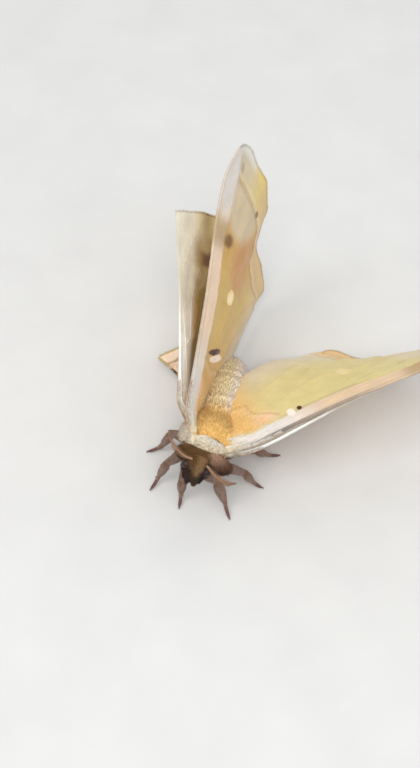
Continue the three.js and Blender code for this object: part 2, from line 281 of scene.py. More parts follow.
def add_floor():
    paint = Paint("floor_matte", 0.9)
    grain = paint.noise(paint.object_place(), 60.0, 4.0)
    paint.finish(paint.mix(srgb(222, 221, 218), srgb(210, 209, 207), grain + 0.5))
    mesh = bpy.data.meshes.new("floor")
    corners = [(x * FLOOR_HALF, y * FLOOR_HALF, 0) for x, y in ((-1, -1), (1, -1), (1, 1), (-1, 1))]
    mesh.from_pydata(corners, [], [(0, 1, 2, 3)])
    mesh.materials.append(paint.material)
    add_object("floor", mesh)


# ------------------------------------------------------------------ meshes
def make_piece(name, points, faces, materials):
    """A smooth piece of the model, from points in millimetres."""
    mesh = bpy.data.meshes.new(name)
    mesh.from_pydata((points * MM).tolist(), [], faces if isinstance(faces, list) else faces.tolist())
    mesh.update()
    for material in materials:
        mesh.materials.append(material)
    mesh.polygons.foreach_set("use_smooth", [True] * len(mesh.polygons))
    piece = add_object(name, mesh)
    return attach(piece, "root")


def write_map(piece, name, places):
    """A UV map from one place for each point."""
    mesh = piece.data
    corner = np.zeros(len(mesh.loops), int)
    mesh.loops.foreach_get("vertex_index", corner)
    layer = mesh.uv_layers.new(name=name)
    layer.data.foreach_set("uv", np.asarray(places, np.float32)[corner].ravel())


def write(piece, name, values):
    """An attribute of the points, from one number or one vector for each."""
    kind, field = ("FLOAT_VECTOR", "vector") if values.ndim == 2 else ("FLOAT", "value")
    attribute = piece.data.attributes.new(name, kind, "POINT")
    attribute.data.foreach_set(field, values.astype(np.float32).ravel())


def across_of(direction, turn):
    """Two directions square to each given one and to each other, turned about it."""
    helper = np.where(np.abs(direction[..., 2:]) < 0.9, [[0, 0, 1.0]], [[1.0, 0, 0]])
    first = unit(np.cross(direction, helper))
    second = np.cross(direction, first)
    turn = np.asarray(turn)[..., None]
    return first * np.cos(turn) + second * np.sin(turn), second * np.cos(turn) - first * np.sin(turn)


def ring_faces(rings, sides):
    """The triangles of a tube of rings. Each ring has so many sides."""
    a = (np.arange(rings - 1)[:, None] * sides + np.arange(sides)).ravel()
    b = (np.arange(rings - 1)[:, None] * sides + (np.arange(sides) + 1) % sides).ravel()
    return np.concatenate([np.stack([a, b, b + sides], 1), np.stack([a, b + sides, a + sides], 1)])


def capped_faces(rings, sides):
    """The triangles of a tube of rings that is closed by one point at each end, after the rings."""
    count, last = rings * sides, (rings - 1) * sides
    k, after = np.arange(sides), (np.arange(sides) + 1) % sides
    start = np.stack([0 * k + count, after, k], 1)
    end = np.stack([0 * k + count + 1, last + k, last + after], 1)
    return np.concatenate([ring_faces(rings, sides), start, end])


def tube(points, radii, sides):
    """A closed tube along points. Returns its points and triangles."""
    points = np.asarray(points, float)
    along = unit(np.gradient(points, axis=0))
    first, second = across_of(along, np.zeros(len(points)))
    angle = 2 * pi * np.arange(sides) / sides
    ring = first[:, None] * np.cos(angle)[:, None] + second[:, None] * np.sin(angle)[:, None]
    shell = points[:, None] + ring * np.asarray(radii, float)[:, None, None]
    rings = np.concatenate([shell.reshape(-1, 3), points[:1], points[-1:]])
    return rings, capped_faces(len(points), sides)


def gather(parts):
    """Several (points, faces) as one."""
    points, faces, start = [], [], 0
    for part_points, part_faces in parts:
        points.append(part_points)
        faces.append(np.asarray(part_faces) + start)
        start += len(part_points)
    return np.concatenate(points), np.concatenate(faces)


TUFT_SIDES = 3
TUFT_RINGS = (0.0, 0.5)
TUFT_POINTS = TUFT_SIDES * len(TUFT_RINGS) + 1
TUFT_TAPER = 0.35
PATCH = 0.0015  # half of a tuft's patch on the bake map


def tuft_faces():
    """The triangles of one tuft: the foot, its sides and the tip."""
    last = (len(TUFT_RINGS) - 1) * TUFT_SIDES
    tip = [(last + k, last + (k + 1) % TUFT_SIDES, TUFT_POINTS - 1) for k in range(TUFT_SIDES)]
    return np.concatenate([[(0, 2, 1)], ring_faces(len(TUFT_RINGS), TUFT_SIDES), tip])


def tufts(roots, directions, curls, lengths, widths):
    """Closed tapering tufts. A tuft leaves along its direction and bends by its curl towards the tip.
    Returns points, faces, the share along the tuft of each point, and each point's step on the bake map."""
    count = len(roots)
    first, second = across_of(directions, RANDOM.uniform(0, 2 * pi, count))
    rows, shares, steps = [], [], []
    for share in TUFT_RINGS:
        centre = roots + (directions * share + curls * share**2) * lengths[:, None]
        radius = (widths * (1 - TUFT_TAPER * share) / 2)[:, None]
        for k in range(TUFT_SIDES):
            angle = 2 * pi * k / TUFT_SIDES
            rows.append(centre + (first * cos(angle) + second * sin(angle)) * radius)
            shares.append(share)
            steps.append((cos(angle) * PATCH * (1 - share), sin(angle) * PATCH * (1 - share)))
    rows.append(roots + (directions + curls) * lengths[:, None])
    shares.append(1.0)
    steps.append((0.0, 0.0))
    points = np.stack(rows, axis=1).reshape(-1, 3)
    faces = (tuft_faces()[None] + TUFT_POINTS * np.arange(count)[:, None, None]).reshape(-1, 3)
    return points, faces, np.tile(shares, count), np.tile(steps, (count, 1))


def zone(values, low, high):
    """0 below low and 1 above high, as the step of a material."""
    t = np.clip((values - low) / (high - low), 0, 1)
    return t * t * (3 - 2 * t)


def keep_over_floor(points):
    """Bends what would reach under the floor back to just above it."""
    points[:, 2] = np.maximum(points[:, 2], FLOOR_GAP)
    return points


def spline(points, share):
    """Places on a smooth curve through points, at shares of its length."""
    points = np.asarray(points, float)
    count = len(points)

    def at(t):
        t = np.clip(t, 0, 1) * (count - 1)
        k = np.minimum(np.floor(t).astype(int), count - 2)
        w = (t - k)[..., None]
        before, here = points[np.maximum(k - 1, 0)], points[k]
        after, beyond = points[k + 1], points[np.minimum(k + 2, count - 1)]
        leave, arrive = (after - before) / 2, (beyond - here) / 2
        cubic = 2 * here - 2 * after + leave + arrive
        square = 3 * after - 3 * here - 2 * leave - arrive
        return cubic * w**3 + square * w**2 + leave * w + here

    steps = np.linspace(0, 1, 201)
    walked = np.concatenate([[0], np.cumsum(np.linalg.norm(np.diff(at(steps), axis=0), axis=1))])
    return at(np.interp(np.asarray(share) * walked[-1], walked, steps))


# ------------------------------------------------------------------ wings: shape, as in the solids
FORE = {
    "front": (0, -1),
    "rear": (0, 10),
    "margin": [(65, -5.4), (67.4, 3), (64.4, 9.6), (59.4, 17.4), (50, 26), (37.4, 37.8), (33.9, 34.6)],
    "front_bulge": 3.439,
    "front_skew": 3.563,
    "rear_bulge": 3.859,
}
HIND = {
    "front": (0, -1),
    "rear": (0, 6),
    "margin": [(50.6, -2.8), (52.2, 1.5), (53.4, 7), (52.6, 15.6), (44, 25), (33.5, 28.8), (23.5, 31.5)],
    "front_bulge": 5,
    "front_skew": 0.5,
    "rear_bulge": 0,
}
CURLED_HIND = {
    **HIND,
    "margin": [(51, -2.5), (51.4, 1.5), (51.8, 7), (51.4, 15.7), (44.5, 25.1), (29.5, 26.1), (21, 36)],
    "front_bulge": 1.5,
    "front_skew": 0.31,
}
CURL_DEPTH = 6
FORE_POSE = {"arch_power": 1, "front_curl": 0, "length": 68, "depth": 36}
FORE_RIGHT = {
    **FORE_POSE,
    "side": -1,
    "root": (-6.536, -2.266, 2.114),
    "span": (-0.221, 0.655, 0.717),
    "chord": (0.36, 0.726, -0.582),
    "bend": 0.082,
    "twist": 0.154,
    "arch": -0.18,
    "flutes": ((1.169, 2.164, 2.442), (0.252, 3.666, -4.424)),  # height, waves along the margin, phase
}
FORE_LEFT = {
    **FORE_POSE,
    "side": 1,
    "root": (5.676, -2.717, 2.506),
    "span": (0.579, 0.451, 0.678),
    "chord": (-0.571, 0.819, -0.015),
    "bend": -0.487,
    "twist": -0.936,
    "arch": -0.275,
    "flutes": ((3.133, 0.437, 1.195), (0.315, 4.162, -2.256)),
}
HIND_RIGHT = {
    "side": -1,
    "root": (-7.59, 2.35, 0.52),
    "span": (-0.31, 0.754, 0.578),
    "chord": (0.313, 0.641, -0.69),
    "bend": -0.129,
    "twist": 0.793,
    "arch": -3.2,
    "arch_power": 2,
    "front_curl": 1.14,
    "length": 50,
    "depth": 40,
    "flutes": ((0.5, 3, 0),),
}
NEST_TURN = radians(-1)  # the left hind wing lies under the left forewing
NEST_ROOT = (-3, 5)
NEST_BELOW = 2
NEST_SAG = 5.3  # at the depth of a whole hind wing
HIND_DEPTH = 40


def planform(outline, u, v):
    """s and c at the share u from root to margin and v from the front edge to the rear."""
    u, v = np.broadcast_arrays(np.asarray(u, float), np.asarray(v, float))
    front, rear = np.array(outline["front"], float), np.array(outline["rear"], float)
    start, end = np.array(outline["margin"][0], float), np.array(outline["margin"][-1], float)
    front_line, rear_line = unit(start - front), unit(end - rear)
    skewed = np.maximum(u, 0) ** outline["front_skew"]
    front_push = outline["front_bulge"] * np.sin(pi * skewed) * (1 - v) ** 2
    rear_push = outline["rear_bulge"] * np.sin(pi * u) * v**2
    base = front + (rear - front) * v[..., None]
    place = base + (spline(outline["margin"], v) - base) * u[..., None]
    place = place + np.array([front_line[1], -front_line[0]]) * front_push[..., None]
    return place + np.array([-rear_line[1], rear_line[0]]) * rear_push[..., None]


def wing_surface(pose, s, c, steps=24):
    """Points of the wing's middle surface, and the upward normals there."""
    s, c = np.asarray(s, float)[..., None], np.asarray(c, float)[..., None]
    span = unit(body_direction(pose["span"]))
    chord = body_direction(pose["chord"])
    chord = unit(chord - span * (chord @ span))
    normal = np.cross(span, chord) * pose["side"]
    point = body_point(pose["root"]) + 0 * s
    for i in range(steps):
        angle = pose["bend"] * s * (i + 0.5) / steps / pose["length"]
        point = point + (span * np.cos(angle) + normal * np.sin(angle)) * s / steps
    bent = pose["bend"] * s / pose["length"]
    bent_normal = normal * np.cos(bent) - span * np.sin(bent)
    twist = pose["twist"] * np.maximum(s, 0) / pose["length"]
    across = chord * np.cos(twist) + bent_normal * np.sin(twist)
    out = bent_normal * np.cos(twist) - chord * np.sin(twist)

    def arch_at(depth):
        curl = pose["front_curl"] * np.maximum(-depth, 0) / CURL_DEPTH
        return pose["arch"] * np.sign(depth) * np.abs(depth / pose["depth"]) ** pose["arch_power"] + curl

    for i in range(steps):
        angle = arch_at(c * (i + 0.5) / steps)
        point = point + (across * np.cos(angle) + out * np.sin(angle)) * c / steps
    arched = arch_at(c)
    return point, out * np.cos(arched) - across * np.sin(arched)


def lay_on_floor(point):
    point = point.copy()
    over = (point[..., 2] - FLOOR_REST) / FLOOR_SOFTNESS
    point[..., 2] = FLOOR_REST + FLOOR_SOFTNESS * np.logaddexp(0, over)
    return point


def own_surface(outline, pose):
    def surface(u, v, lift=0.0):
        place = planform(outline, u, v)
        point, upward = wing_surface(pose, place[..., 0], place[..., 1])
        wave = sum(height * np.sin(2 * pi * waves * v + phase) for height, waves, phase in pose["flutes"])
        flute = wave * np.maximum(u, 0) ** 3
        return lay_on_floor(point + upward * (flute + lift)[..., None])

    return surface


def nested_surface(outline, pose):
    def surface(u, v, lift=0.0):
        place = planform(outline, u, v)
        s = place[..., 0] * cos(NEST_TURN) - place[..., 1] * sin(NEST_TURN) + NEST_ROOT[0]
        c = place[..., 0] * sin(NEST_TURN) + place[..., 1] * cos(NEST_TURN) + NEST_ROOT[1]
        point, upward = wing_surface(pose, s, c)
        sag = NEST_SAG * (np.maximum(c, 0) / HIND_DEPTH) ** 2
        return lay_on_floor(point + upward * (lift - NEST_BELOW - sag)[..., None])

    return surface


# ------------------------------------------------------------------ wings: veins and membrane
FORE_VEINS = (  # each as places on the wing; a single number is a place on the outer margin
    [(0, 0.2), (20, -2.2), (40, -3.6)],
    [(0, 1.2), (22, -0.6), (48, -1.6), (62, -0.8)],
    [(22, -0.6), (40, 0.9), (56, 0.8), 0.04],
    [(26, -0.2), (38, 2.6), (54, 4.4), 0.17],
    [(32, 4.6), (46, 8.0), 0.33],
    [(31.3, 8.6), (44, 13.4), 0.47],
    [(30, 12.6), (41, 18.2), 0.6],
    [(26, 11.4), (36, 20.4), 0.74],
    [(18, 8.6), (29, 20.4), 0.87],
    [(0, 3.2), (12, 6.2), (30, 12.6)],
    [(31.8, 0.9), (32, 4.6), (31.3, 8.6), (30, 12.6)],
    [(0, 5.6), (16, 15.4), (28, 25.6), 0.985],
)
HIND_VEINS = (
    [(0, 0.0), (14, -4.6), (34, -5.4), 0.03],
    [(0, 1.0), (18, -0.8), (36, -1.4), 0.14],
    [(20, 1.2), (34, 2.4), 0.26],
    [(20.5, 4.2), (36, 7.6), 0.4],
    [(19, 8.0), (33, 13.6), 0.54],
    [(16, 7.6), (28, 17.6), 0.68],
    [(11, 6.0), (21, 18.4), 0.82],
    [(0, 2.6), (9, 5.0), (19, 8.0)],
    [(18, -0.8), (20, 1.2), (20.5, 4.2), (19, 8.0)],
    [(0, 4.6), (9, 12.4), (19, 25.0), 0.965],
)


def vein_line(outline, vein, count=44):
    places = [spline(outline["margin"], place) if isinstance(place, float) else place for place in vein]
    return spline(places, np.linspace(0, 1, count))


NUDGE = 1e-3


def solve_shares(outline, places, grid_u, grid_v, grid_place):
    """u and v of given s and c, by the nearest grid place and two corrections."""
    flat = grid_place.reshape(-1, 2)
    found = []
    for place in places:
        k = np.argmin(((flat - place) ** 2).sum(1))
        u, v = grid_u.ravel()[k], grid_v.ravel()[k]
        for _ in range(2):
            here = planform(outline, u, v)
            by_u = (planform(outline, u + NUDGE, v) - here) / NUDGE
            by_v = (planform(outline, u, min(v + NUDGE, 1.0)) - here) / NUDGE
            if np.abs(np.linalg.det(np.array([by_u, by_v]))) < 1e-6:
                break
            du, dv = np.linalg.solve(np.array([by_u, by_v]).T, np.asarray(place) - here)
            u, v = u + du, np.clip(v + dv, 0, 1)
        found.append((np.clip(u, 0, 1), v))
    return np.array(found).T


VEIN_SIDES = 6
MEMBRANE = 0.16  # thickness of the wing
BASE_THICKNESS = 1.1  # added where the wing meets the thorax
EDGE_RADIUS = (0.42, 0.18)  # half thickness of the front edge at the root and at the apex
PLEAT = 0.34  # how deep the membrane sinks between two veins
PLEAT_REACH = 1.9  # how far from a vein the sinking goes on
RIPPLE = 0.12  # height of the soft waves of the membrane
EDGE_REACH = 0.55  # how far behind the front edge it is thick
ROOT_SHARE = -0.02
ROOT_DROP = 0.9  # how far the wing's base sinks as it enters the thorax
HAIRY_SHARE = 0.17  # how far hair covers the wing from its root


class Wing:
    """One wing: its surface on a grid, with veins, pleats, fringe and a map of where each point is."""

    def __init__(self, name, outline, veins, surface, side, inward, span_steps=170, chord_steps=110):
        self.name = name
        self.outline = outline
        self.surface = surface
        self.side = side
        self.sink = body_direction((-side * inward, 0, -ROOT_DROP))
        self.lines = [vein_line(outline, vein) for vein in veins]
        share_u = np.linspace(ROOT_SHARE, 1, span_steps + 1)
        share_v = np.linspace(0, 1, chord_steps + 1)
        self.u, self.v = np.meshgrid(share_u, share_v, indexing="ij")
        self.place = planform(outline, self.u, self.v)

    def vein_distance(self, place):
        nearest = np.full(place.shape[:-1], 1e9)
        for line in self.lines:
            for point in line[::2]:
                nearest = np.minimum(nearest, ((place - point) ** 2).sum(-1))
        return np.sqrt(nearest)

    def middle(self, u, v):
        """The middle surface with its pleats, and the upward normal."""
        place = planform(self.outline, u, v)
        sink = 1 - np.exp(-((self.vein_distance(place) / PLEAT_REACH) ** 2))
        lift = -PLEAT * sink * np.clip(u * 1.6, 0, 1)
        lift = lift + RIPPLE * np.sin(place[..., 0] * 0.55 + 2.1 * np.sin(place[..., 1] * 0.3)) * u**2
        return self.surface(u, v, lift) + self.sink * zone(-u, -0.09, 0.02)[..., None]

    def normals(self, points):
        by_u = np.gradient(points, axis=0)
        by_v = np.gradient(points, axis=1)
        return unit(np.cross(by_u, by_v)) * self.side

    def membrane(self):
        points = self.middle(self.u, self.v)
        normal = self.normals(points)
        front = np.linalg.norm(self.place - planform(self.outline, self.u, 0 * self.v), axis=-1)
        reach = np.clip(self.u, 0, 1)
        edge = EDGE_RADIUS[0] + (EDGE_RADIUS[1] - EDGE_RADIUS[0]) * reach
        thickness = MEMBRANE + BASE_THICKNESS * (1 - reach) ** 9
        thickness = thickness + 2 * edge * np.exp(-((front / EDGE_REACH) ** 2))
        rim = np.minimum(np.minimum((1 - self.u) / 0.012, (1 - self.v) / 0.02), 1)
        half = (thickness * (0.35 + 0.65 * rim) / 2)[..., None]
        upper, lower = points + normal * half, points - normal * half
        rows, columns = self.u.shape
        index = np.arange(rows * columns).reshape(rows, columns)
        quads = np.stack([index[:-1, :-1], index[1:, :-1], index[1:, 1:], index[:-1, 1:]], -1).reshape(-1, 4)
        under = quads[:, ::-1] + rows * columns
        ring = np.concatenate([index[:, 0], index[-1, 1:], index[-2::-1, -1], index[0, -2:0:-1]])
        after = np.roll(ring, -1)
        wall = np.stack([after, ring, ring + rows * columns, after + rows * columns], -1)
        quads, under, wall = (faces if self.side > 0 else faces[:, ::-1] for faces in (quads, under, wall))
        self.grid = points
        self.grid_normal = normal
        self.grid_half = half
        return np.concatenate([upper.reshape(-1, 3), lower.reshape(-1, 3)]), quads, under, wall

    def at(self, u, v):
        """The grid's points, normals and places at the shares u and v."""
        rows, columns = self.u.shape
        i = np.clip((u - ROOT_SHARE) / (1 - ROOT_SHARE) * (rows - 1), 0, rows - 1.001)
        j = np.clip(v * (columns - 1), 0, columns - 1.001)
        i0, j0 = i.astype(int), j.astype(int)
        a, b = (i - i0)[..., None], (j - j0)[..., None]

        def blend(grid):
            low = grid[i0, j0] * (1 - b) + grid[i0, j0 + 1] * b
            high = grid[i0 + 1, j0] * (1 - b) + grid[i0 + 1, j0 + 1] * b
            return low * (1 - a) + high * a

        return blend(self.grid), unit(blend(self.grid_normal)), blend(self.place)

    def hair_roots(self, count, side):
        """Places for hair on the wing's base, round its front edge and along its rear edge, on one side."""
        kind = RANDOM.random(count)
        at_rear, at_front = kind < 0.14, kind > 0.78
        u = np.where(at_rear, 0.4 * RANDOM.random(count), HAIRY_SHARE * RANDOM.random(count) ** 1.8)
        v = np.where(at_front, 0.02 * RANDOM.random(count), RANDOM.random(count))
        v = np.where(at_rear, 1 - 0.06 * RANDOM.random(count), v)
        root, normal, place = self.at(u, v)
        rows, columns = self.u.shape
        i = ((u - ROOT_SHARE) / (1 - ROOT_SHARE) * (rows - 1)).astype(int)
        half = self.grid_half[i, (v * (columns - 1)).astype(int)]
        outer, _, _ = self.at(u + 0.03, v)
        rearward, _, _ = self.at(u, np.minimum(v + 0.03, 1))
        forward, _, _ = self.at(u, np.minimum(v + 0.03, 1) - 0.05)
        chord = unit(rearward - forward)
        along = unit(outer - root) + chord * np.where(at_rear, 0.3, 0.08)[:, None]
        nose = np.where(at_front, RANDOM.uniform(0, pi / 2, count), 0)[:, None]
        out = normal * side * np.cos(nose) - chord * np.sin(nose)
        fade = np.where(at_rear, 0.4, 1 - u / HAIRY_SHARE)
        return root + out * half * 0.8, out, along, place, fade

    def vein_tubes(self):
        """Round veins that stand out of both sides, thick at the root and thin at the margin."""
        tubes, places, shares, facing_up = [], [], [], []
        for line in self.lines:
            u, v = solve_shares(self.outline, line, self.u[::3, ::3], self.v[::3, ::3], self.place[::3, ::3])
            points, _, _ = self.at(u * 0.992, v)
            radii = 0.13 + 0.13 * (1 - np.clip(u, 0, 1)) ** 1.5
            vein, faces = tube(points, radii, VEIN_SIDES)
            tubes.append((vein, faces))
            corners = vein[faces]
            out = np.cross(corners[:, 1] - corners[:, 0], corners[:, 2] - corners[:, 0])
            _, normal, _ = self.at(u, v)
            row = np.minimum(faces.min(1) // VEIN_SIDES, len(line) - 1)
            facing_up.append((out * normal[row]).sum(1) > 0)
            order = [*np.repeat(np.arange(len(line)), VEIN_SIDES), 0, len(line) - 1]
            places.append(line[order])
            shares.append(np.stack([u, v], 1)[order])
        points, faces = gather(tubes)
        return points, faces, np.concatenate(places), np.concatenate(shares), np.concatenate(facing_up)

    def fringe(self, count=3600, length=0.75):
        """Narrow scales that stand out of the margin in the wing's plane."""
        v = RANDOM.uniform(0, 1.25, count)
        rear = v > 1
        u = np.where(rear, 1 - (v - 1) / 0.25 * 0.8, 1.0)
        v = np.minimum(v, 1.0)
        root, normal, place = self.at(u - 0.004, v)
        inner, _, _ = self.at(u - np.where(rear, 0.004, 0.03), v - np.where(rear, 0.03, 0.0))
        way = unit(root - inner + normal * RANDOM.normal(0, 0.02, (count, 1)))
        way = unit(way + RANDOM.normal(0, 0.16, (count, 3)))
        curl = RANDOM.normal(0, 0.1, (count, 3))
        lengths = length * RANDOM.uniform(0.6, 1.1, count)
        points, faces, _, _ = tufts(root, way, curl, lengths, RANDOM.uniform(0.1, 0.18, count))
        repeat = np.repeat(np.arange(count), TUFT_POINTS)
        return points, faces, place[repeat], np.stack([u, v], 1)[repeat]

    def build(self, upper_paint, under_paint):
        points, upper, under, wall = self.membrane()
        vein_points, vein_faces, vein_place, vein_share, vein_up = self.vein_tubes()
        scale_points, scale_faces, scale_place, scale_share = self.fringe()
        start = len(points)
        faces = [*upper.tolist(), *wall.tolist(), *under.tolist(), *(vein_faces + start).tolist()]
        faces += (scale_faces + start + len(vein_points)).tolist()
        everything = keep_over_floor(np.concatenate([points, vein_points, scale_points]))
        piece = make_piece(self.name + "_skin", everything, faces, [upper_paint, under_paint])
        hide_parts(self.name)
        outside = np.zeros(len(upper) + len(wall), bool)
        kind = [outside, np.ones(len(under), bool), ~vein_up, np.zeros(len(scale_faces), bool)]
        piece.data.polygons.foreach_set("material_index", np.concatenate(kind).astype(int))
        grid_place = np.tile(self.place.reshape(-1, 2), (2, 1))
        grid_share = np.tile(np.stack([self.u, self.v], -1).reshape(-1, 2), (2, 1))
        for name, parts in (
            ("wing_place", (grid_place, vein_place, scale_place)),
            ("wing_share", (grid_share, vein_share, scale_share)),
        ):
            values = np.concatenate(parts)
            write(piece, name, np.column_stack([values, np.zeros(len(values))]))


# ------------------------------------------------------------------ wings: markings, with some painted light and shade
GOLD = srgb(201, 157, 82)
YELLOW = srgb(216, 198, 126)
ORANGE = srgb(220, 174, 108)
ROOT_PINK = srgb(246, 188, 156)
TERRACOTTA = srgb(200, 148, 94)
BEIGE = srgb(210, 194, 164)
REAR_GREY = srgb(216, 202, 182)
LILAC = srgb(224, 216, 208)
PINK_WHITE = srgb(246, 228, 214)
PINK_CREAM = srgb(236, 208, 180)
MARGIN_YELLOW = srgb(224, 196, 120)
MARGIN_TAN = srgb(212, 182, 136)
APEX_GREY = srgb(214, 204, 190)
APEX_TAN = srgb(206, 192, 166)
APEX_WHITE = srgb(226, 222, 212)
# darker across the pale front band
FRONT_BAND_DARKENING = srgb(180, 150, 102)
FRONT_LINE = srgb(176, 160, 122)
# rim colours: painted shade on the lit front edge, and a grey line along it
RIM_GREY_AND_SHADE = srgb(128, 118, 112)
RIM_SHADE_TAN = srgb(188, 166, 140)
WINDOW_RING = srgb(246, 214, 148)
WINDOW = srgb(250, 230, 186)
BROWN = srgb(112, 72, 34)
MAROON = srgb(70, 22, 18)
BLACK = srgb(30, 22, 24)
# olive: the eyespot's dark halo, and painted shadow of the forewing on the hind wing
OLIVE_HALO_AND_SHADOW = srgb(134, 114, 52)
OLIVE_TAN = srgb(170, 148, 102)
OLIVE_BROWN = srgb(134, 110, 68)
WORN_TAN = srgb(200, 182, 142)
CORNER_CREAM = srgb(230, 218, 184)
BLUE_GREY = srgb(120, 128, 150)
RING_CREAM = srgb(236, 224, 190)
HIND_MARGIN = srgb(218, 198, 140)
# whiter than the edge's own cream: painted light through the thin wing
CURL_WHITE_LIT = srgb(255, 255, 246)
CURL_GREY = srgb(216, 209, 190)
UNDER_ROSE = srgb(242, 214, 182)
UNDER_DUSK = srgb(222, 188, 156)
UNDER_FROST = srgb(246, 230, 212)
UNDER_SHADE = srgb(176, 136, 108)
UNDER_MARGIN = srgb(240, 216, 190)
UNDER_BAND = srgb(132, 90, 68)
UNDER_LINE = srgb(124, 84, 66)
UNDER_WINDOW = srgb(236, 214, 160)
HIND_EYESPOT = (24.5, 12.0)

RIGHT_MARKS = {
    "field": GOLD,
    "eyespot": 1.0,
    "eyespot_at": (33.1, 11.7),
    "front_band": 4.0,
    "band_colour": PINK_CREAM,
    "orange_to": 10.5,
    "inner_line": (0.16, 16.5, 4.0),
    "front_rim_line_and_shade": 0.3,
    "inner_slant": 0.155,
    "inner_pale": ((16.25, 12.0), (1.0, 4.9)),
    "inner_dark": ((17.9, 10.3), (0.85, 4.9)),
    "front_dark": ((44.8, 2.8), (1.7, 2.6), 0.85),
    "bronze": 1.0,
}
LEFT_MARKS = {
    "field": srgb(212, 196, 136),
    "eyespot": 0.22,
    "eyespot_at": (32.5, 10.4),
    "front_band": 1.6,
    "band_colour": srgb(222, 192, 158),
    "orange_to": 9,
    "inner_line": (0.24, 14.2, 14.0),
    "front_rim_line_and_shade": 1.0,
    "inner_slant": 0.0,
    "inner_pale": ((15.5, 2.1), (0.95, 1.5)),
    "inner_dark": ((17.7, 2.4), (0.6, 0.8)),
    "front_dark": ((44.8, 2.8), (1.2, 1.6), 0.12),
    "bronze": 0.1,
}


def oval(s, c, middle, half):
    """A distance that is 1 on an oval's outline."""
    across_s, across_c = (s - middle[0]) / half[0], (c - middle[1]) / half[1]
    return (across_s * across_s + across_c * across_c).run("SQRT")


class WingPaint(Paint):
    """A wing's paint, which knows each point's place and share, with two kinds of noise."""

    def __init__(self, name, roughness, sheen, wander_detail):
        super().__init__(name, roughness, sheen)
        self.s, self.c, _ = self.vector("wing_place")
        self.u, self.v, _ = self.vector("wing_share")
        self.plan = self.join(self.s, self.c)
        self.wander = self.noise(self.plan, 0.35, wander_detail)

    def spot(self, middle, half, rim, core, lean=0.0):
        """1 inside an oval on the wing, fading from its core to its rim, and leaning out by lean."""
        s = self.s - self.c * lean if lean else self.s
        return oval(s, self.c, middle, half).step(rim, core)

    def powder(self, colour):
        """Finishes with scales: fine grain, streaks along the veins and soft mottling."""
        grain = self.noise(self.plan, 5.0, 3.0)
        streak = self.noise(self.join(self.s * 0.35, self.c * 3.2), 1.0, 3.0)
        mottle = self.noise(self.plan, 0.22, 3.0)
        light = 1.0 + grain * 0.34 + streak * 0.26 + mottle * 0.3
        return self.finish(self.shade(colour, light), grain * 0.7 + streak)


def forewing_upper(marks, name):
    paint = WingPaint(name, 0.78, 0.25, 2.0)
    s, c, u, v, wander = paint.s, paint.c, paint.u, paint.v, paint.wander
    spot, eyespot, bronze = paint.spot, marks["eyespot"], marks["bronze"]
    orange = (s + wander * 3.0 - marks["orange_to"]).step(5, -6) * c.step(-0.5, 3.5)
    outer = u + wander * 0.03
    margin = paint.mix(MARGIN_YELLOW, MARGIN_TAN, v.step(0.3, 0.5))
    apex = u.step(0.68, 0.86) * (v + wander * 0.05 - u.step(0.9, 1.0) * 0.1).step(0.2, 0.1)
    front = c - (marks["front_band"] + wander * 1.2) + s.step(26, 46) * 3.6
    band = paint.layers(
        LILAC,
        (marks["band_colour"], s.step(12, 26)),
        (LILAC, s.step(46, 54)),
        # darker across the pale front band near s 45.6
        (FRONT_BAND_DARKENING, s.band(45.6, 1.0, 4.0) * 0.85),
    )
    strength, start, slant = marks["inner_line"]
    inner = s - start + v * slant + (v * 16.0).run("SINE") * 0.7 + wander * 1.5
    front_dark, front_dark_half, front_dark_strength = marks["front_dark"]
    window, window_half = marks["eyespot_at"], (1.9, 2.6)
    lean = marks["inner_slant"]
    colour = paint.layers(
        marks["field"],
        (YELLOW, s.band(30, 4, 14) * 0.35),
        (ORANGE, orange),
        (ROOT_PINK, spot((9.6, 4.2), (3.4, 2.0), 1.3, 0.4) * 0.55),
        (TERRACOTTA, spot((41.5, 14.5), (8, 9), 1.25, 0.5) * bronze),
        (BEIGE, spot((54, 8), (8.5, 9), 1.2, 0.7) * 0.85),
        (REAR_GREY, v.step(0.62, 0.95) * s.step(6, 14) * 0.8),
        # the margin outside the outer line: yellow at the apex, tan below it
        (margin, outer.step(0.885, 0.9)),
        (PINK_WHITE, outer.band(0.902, 0.004, 0.012) * 0.22),
        (BROWN, outer.band(0.884, 0.004, 0.014) * 0.2),
        (APEX_GREY, apex * 0.9),
        (APEX_TAN, u.band(0.94, 0.02, 0.03) * v.step(0.36, 0.22) * 0.8),
        (APEX_WHITE, u.step(0.96, 0.99) * v.step(0.3, 0.2) * 0.8),
        (BROWN, spot((62.3, 2.6), (1.3, 0.7), 1.3, 0.7) * 0.3),
        # the pale front band
        (band, front.step(0.5, -0.5)),
        (FRONT_LINE, front.band(0.4, 0.2, 0.45) * s.band(24, 8, 5) * 0.45),
        # the inner line, and the front rim: a grey line along it and painted shade that tones down the lit
        # edge
        (BROWN, inner.band(1.3, 0.1, 0.7) * c.step(2.4, 4.0) * strength),
        (PINK_WHITE, inner.band(0.3, 0.2, 1.0) * 0.12),
        # painted shade on the front rim, toning down the lit edge; partly a grey line along it
        (RIM_GREY_AND_SHADE, v.step(0.02, 0.006) * s.band(18, 10, 8) * marks["front_rim_line_and_shade"]),
        (RIM_SHADE_TAN, v.step(0.03, 0.008) * s.step(10, 20) * 0.5),
        # the pale and the dark oval near the root, and the dark spots near the front and the margin
        (PINK_WHITE, spot(*marks["inner_pale"], 1.2, 0.75, lean)),
        (MAROON, spot(*marks["inner_dark"], 1.15, 0.8, lean)),
        (BROWN, spot(front_dark, front_dark_half, 1.3, 0.5) * front_dark_strength),
        (BROWN, spot((54.2, 14.0), (0.9, 1.0), 1.3, 0.6) * (0.8 * bronze)),
        # the eyespot: a clear window in a yellow ring, with a thin dark line round it
        (MAROON, oval(s, c, window, window_half).band(1.12, 0.02, 0.12) * (0.1 * eyespot)),
        (WINDOW_RING, spot(window, window_half, 1.1, 0.92) * eyespot),
        (WINDOW, spot(window, window_half, 0.8, 0.6) * eyespot),
    )
    return paint.powder(colour)


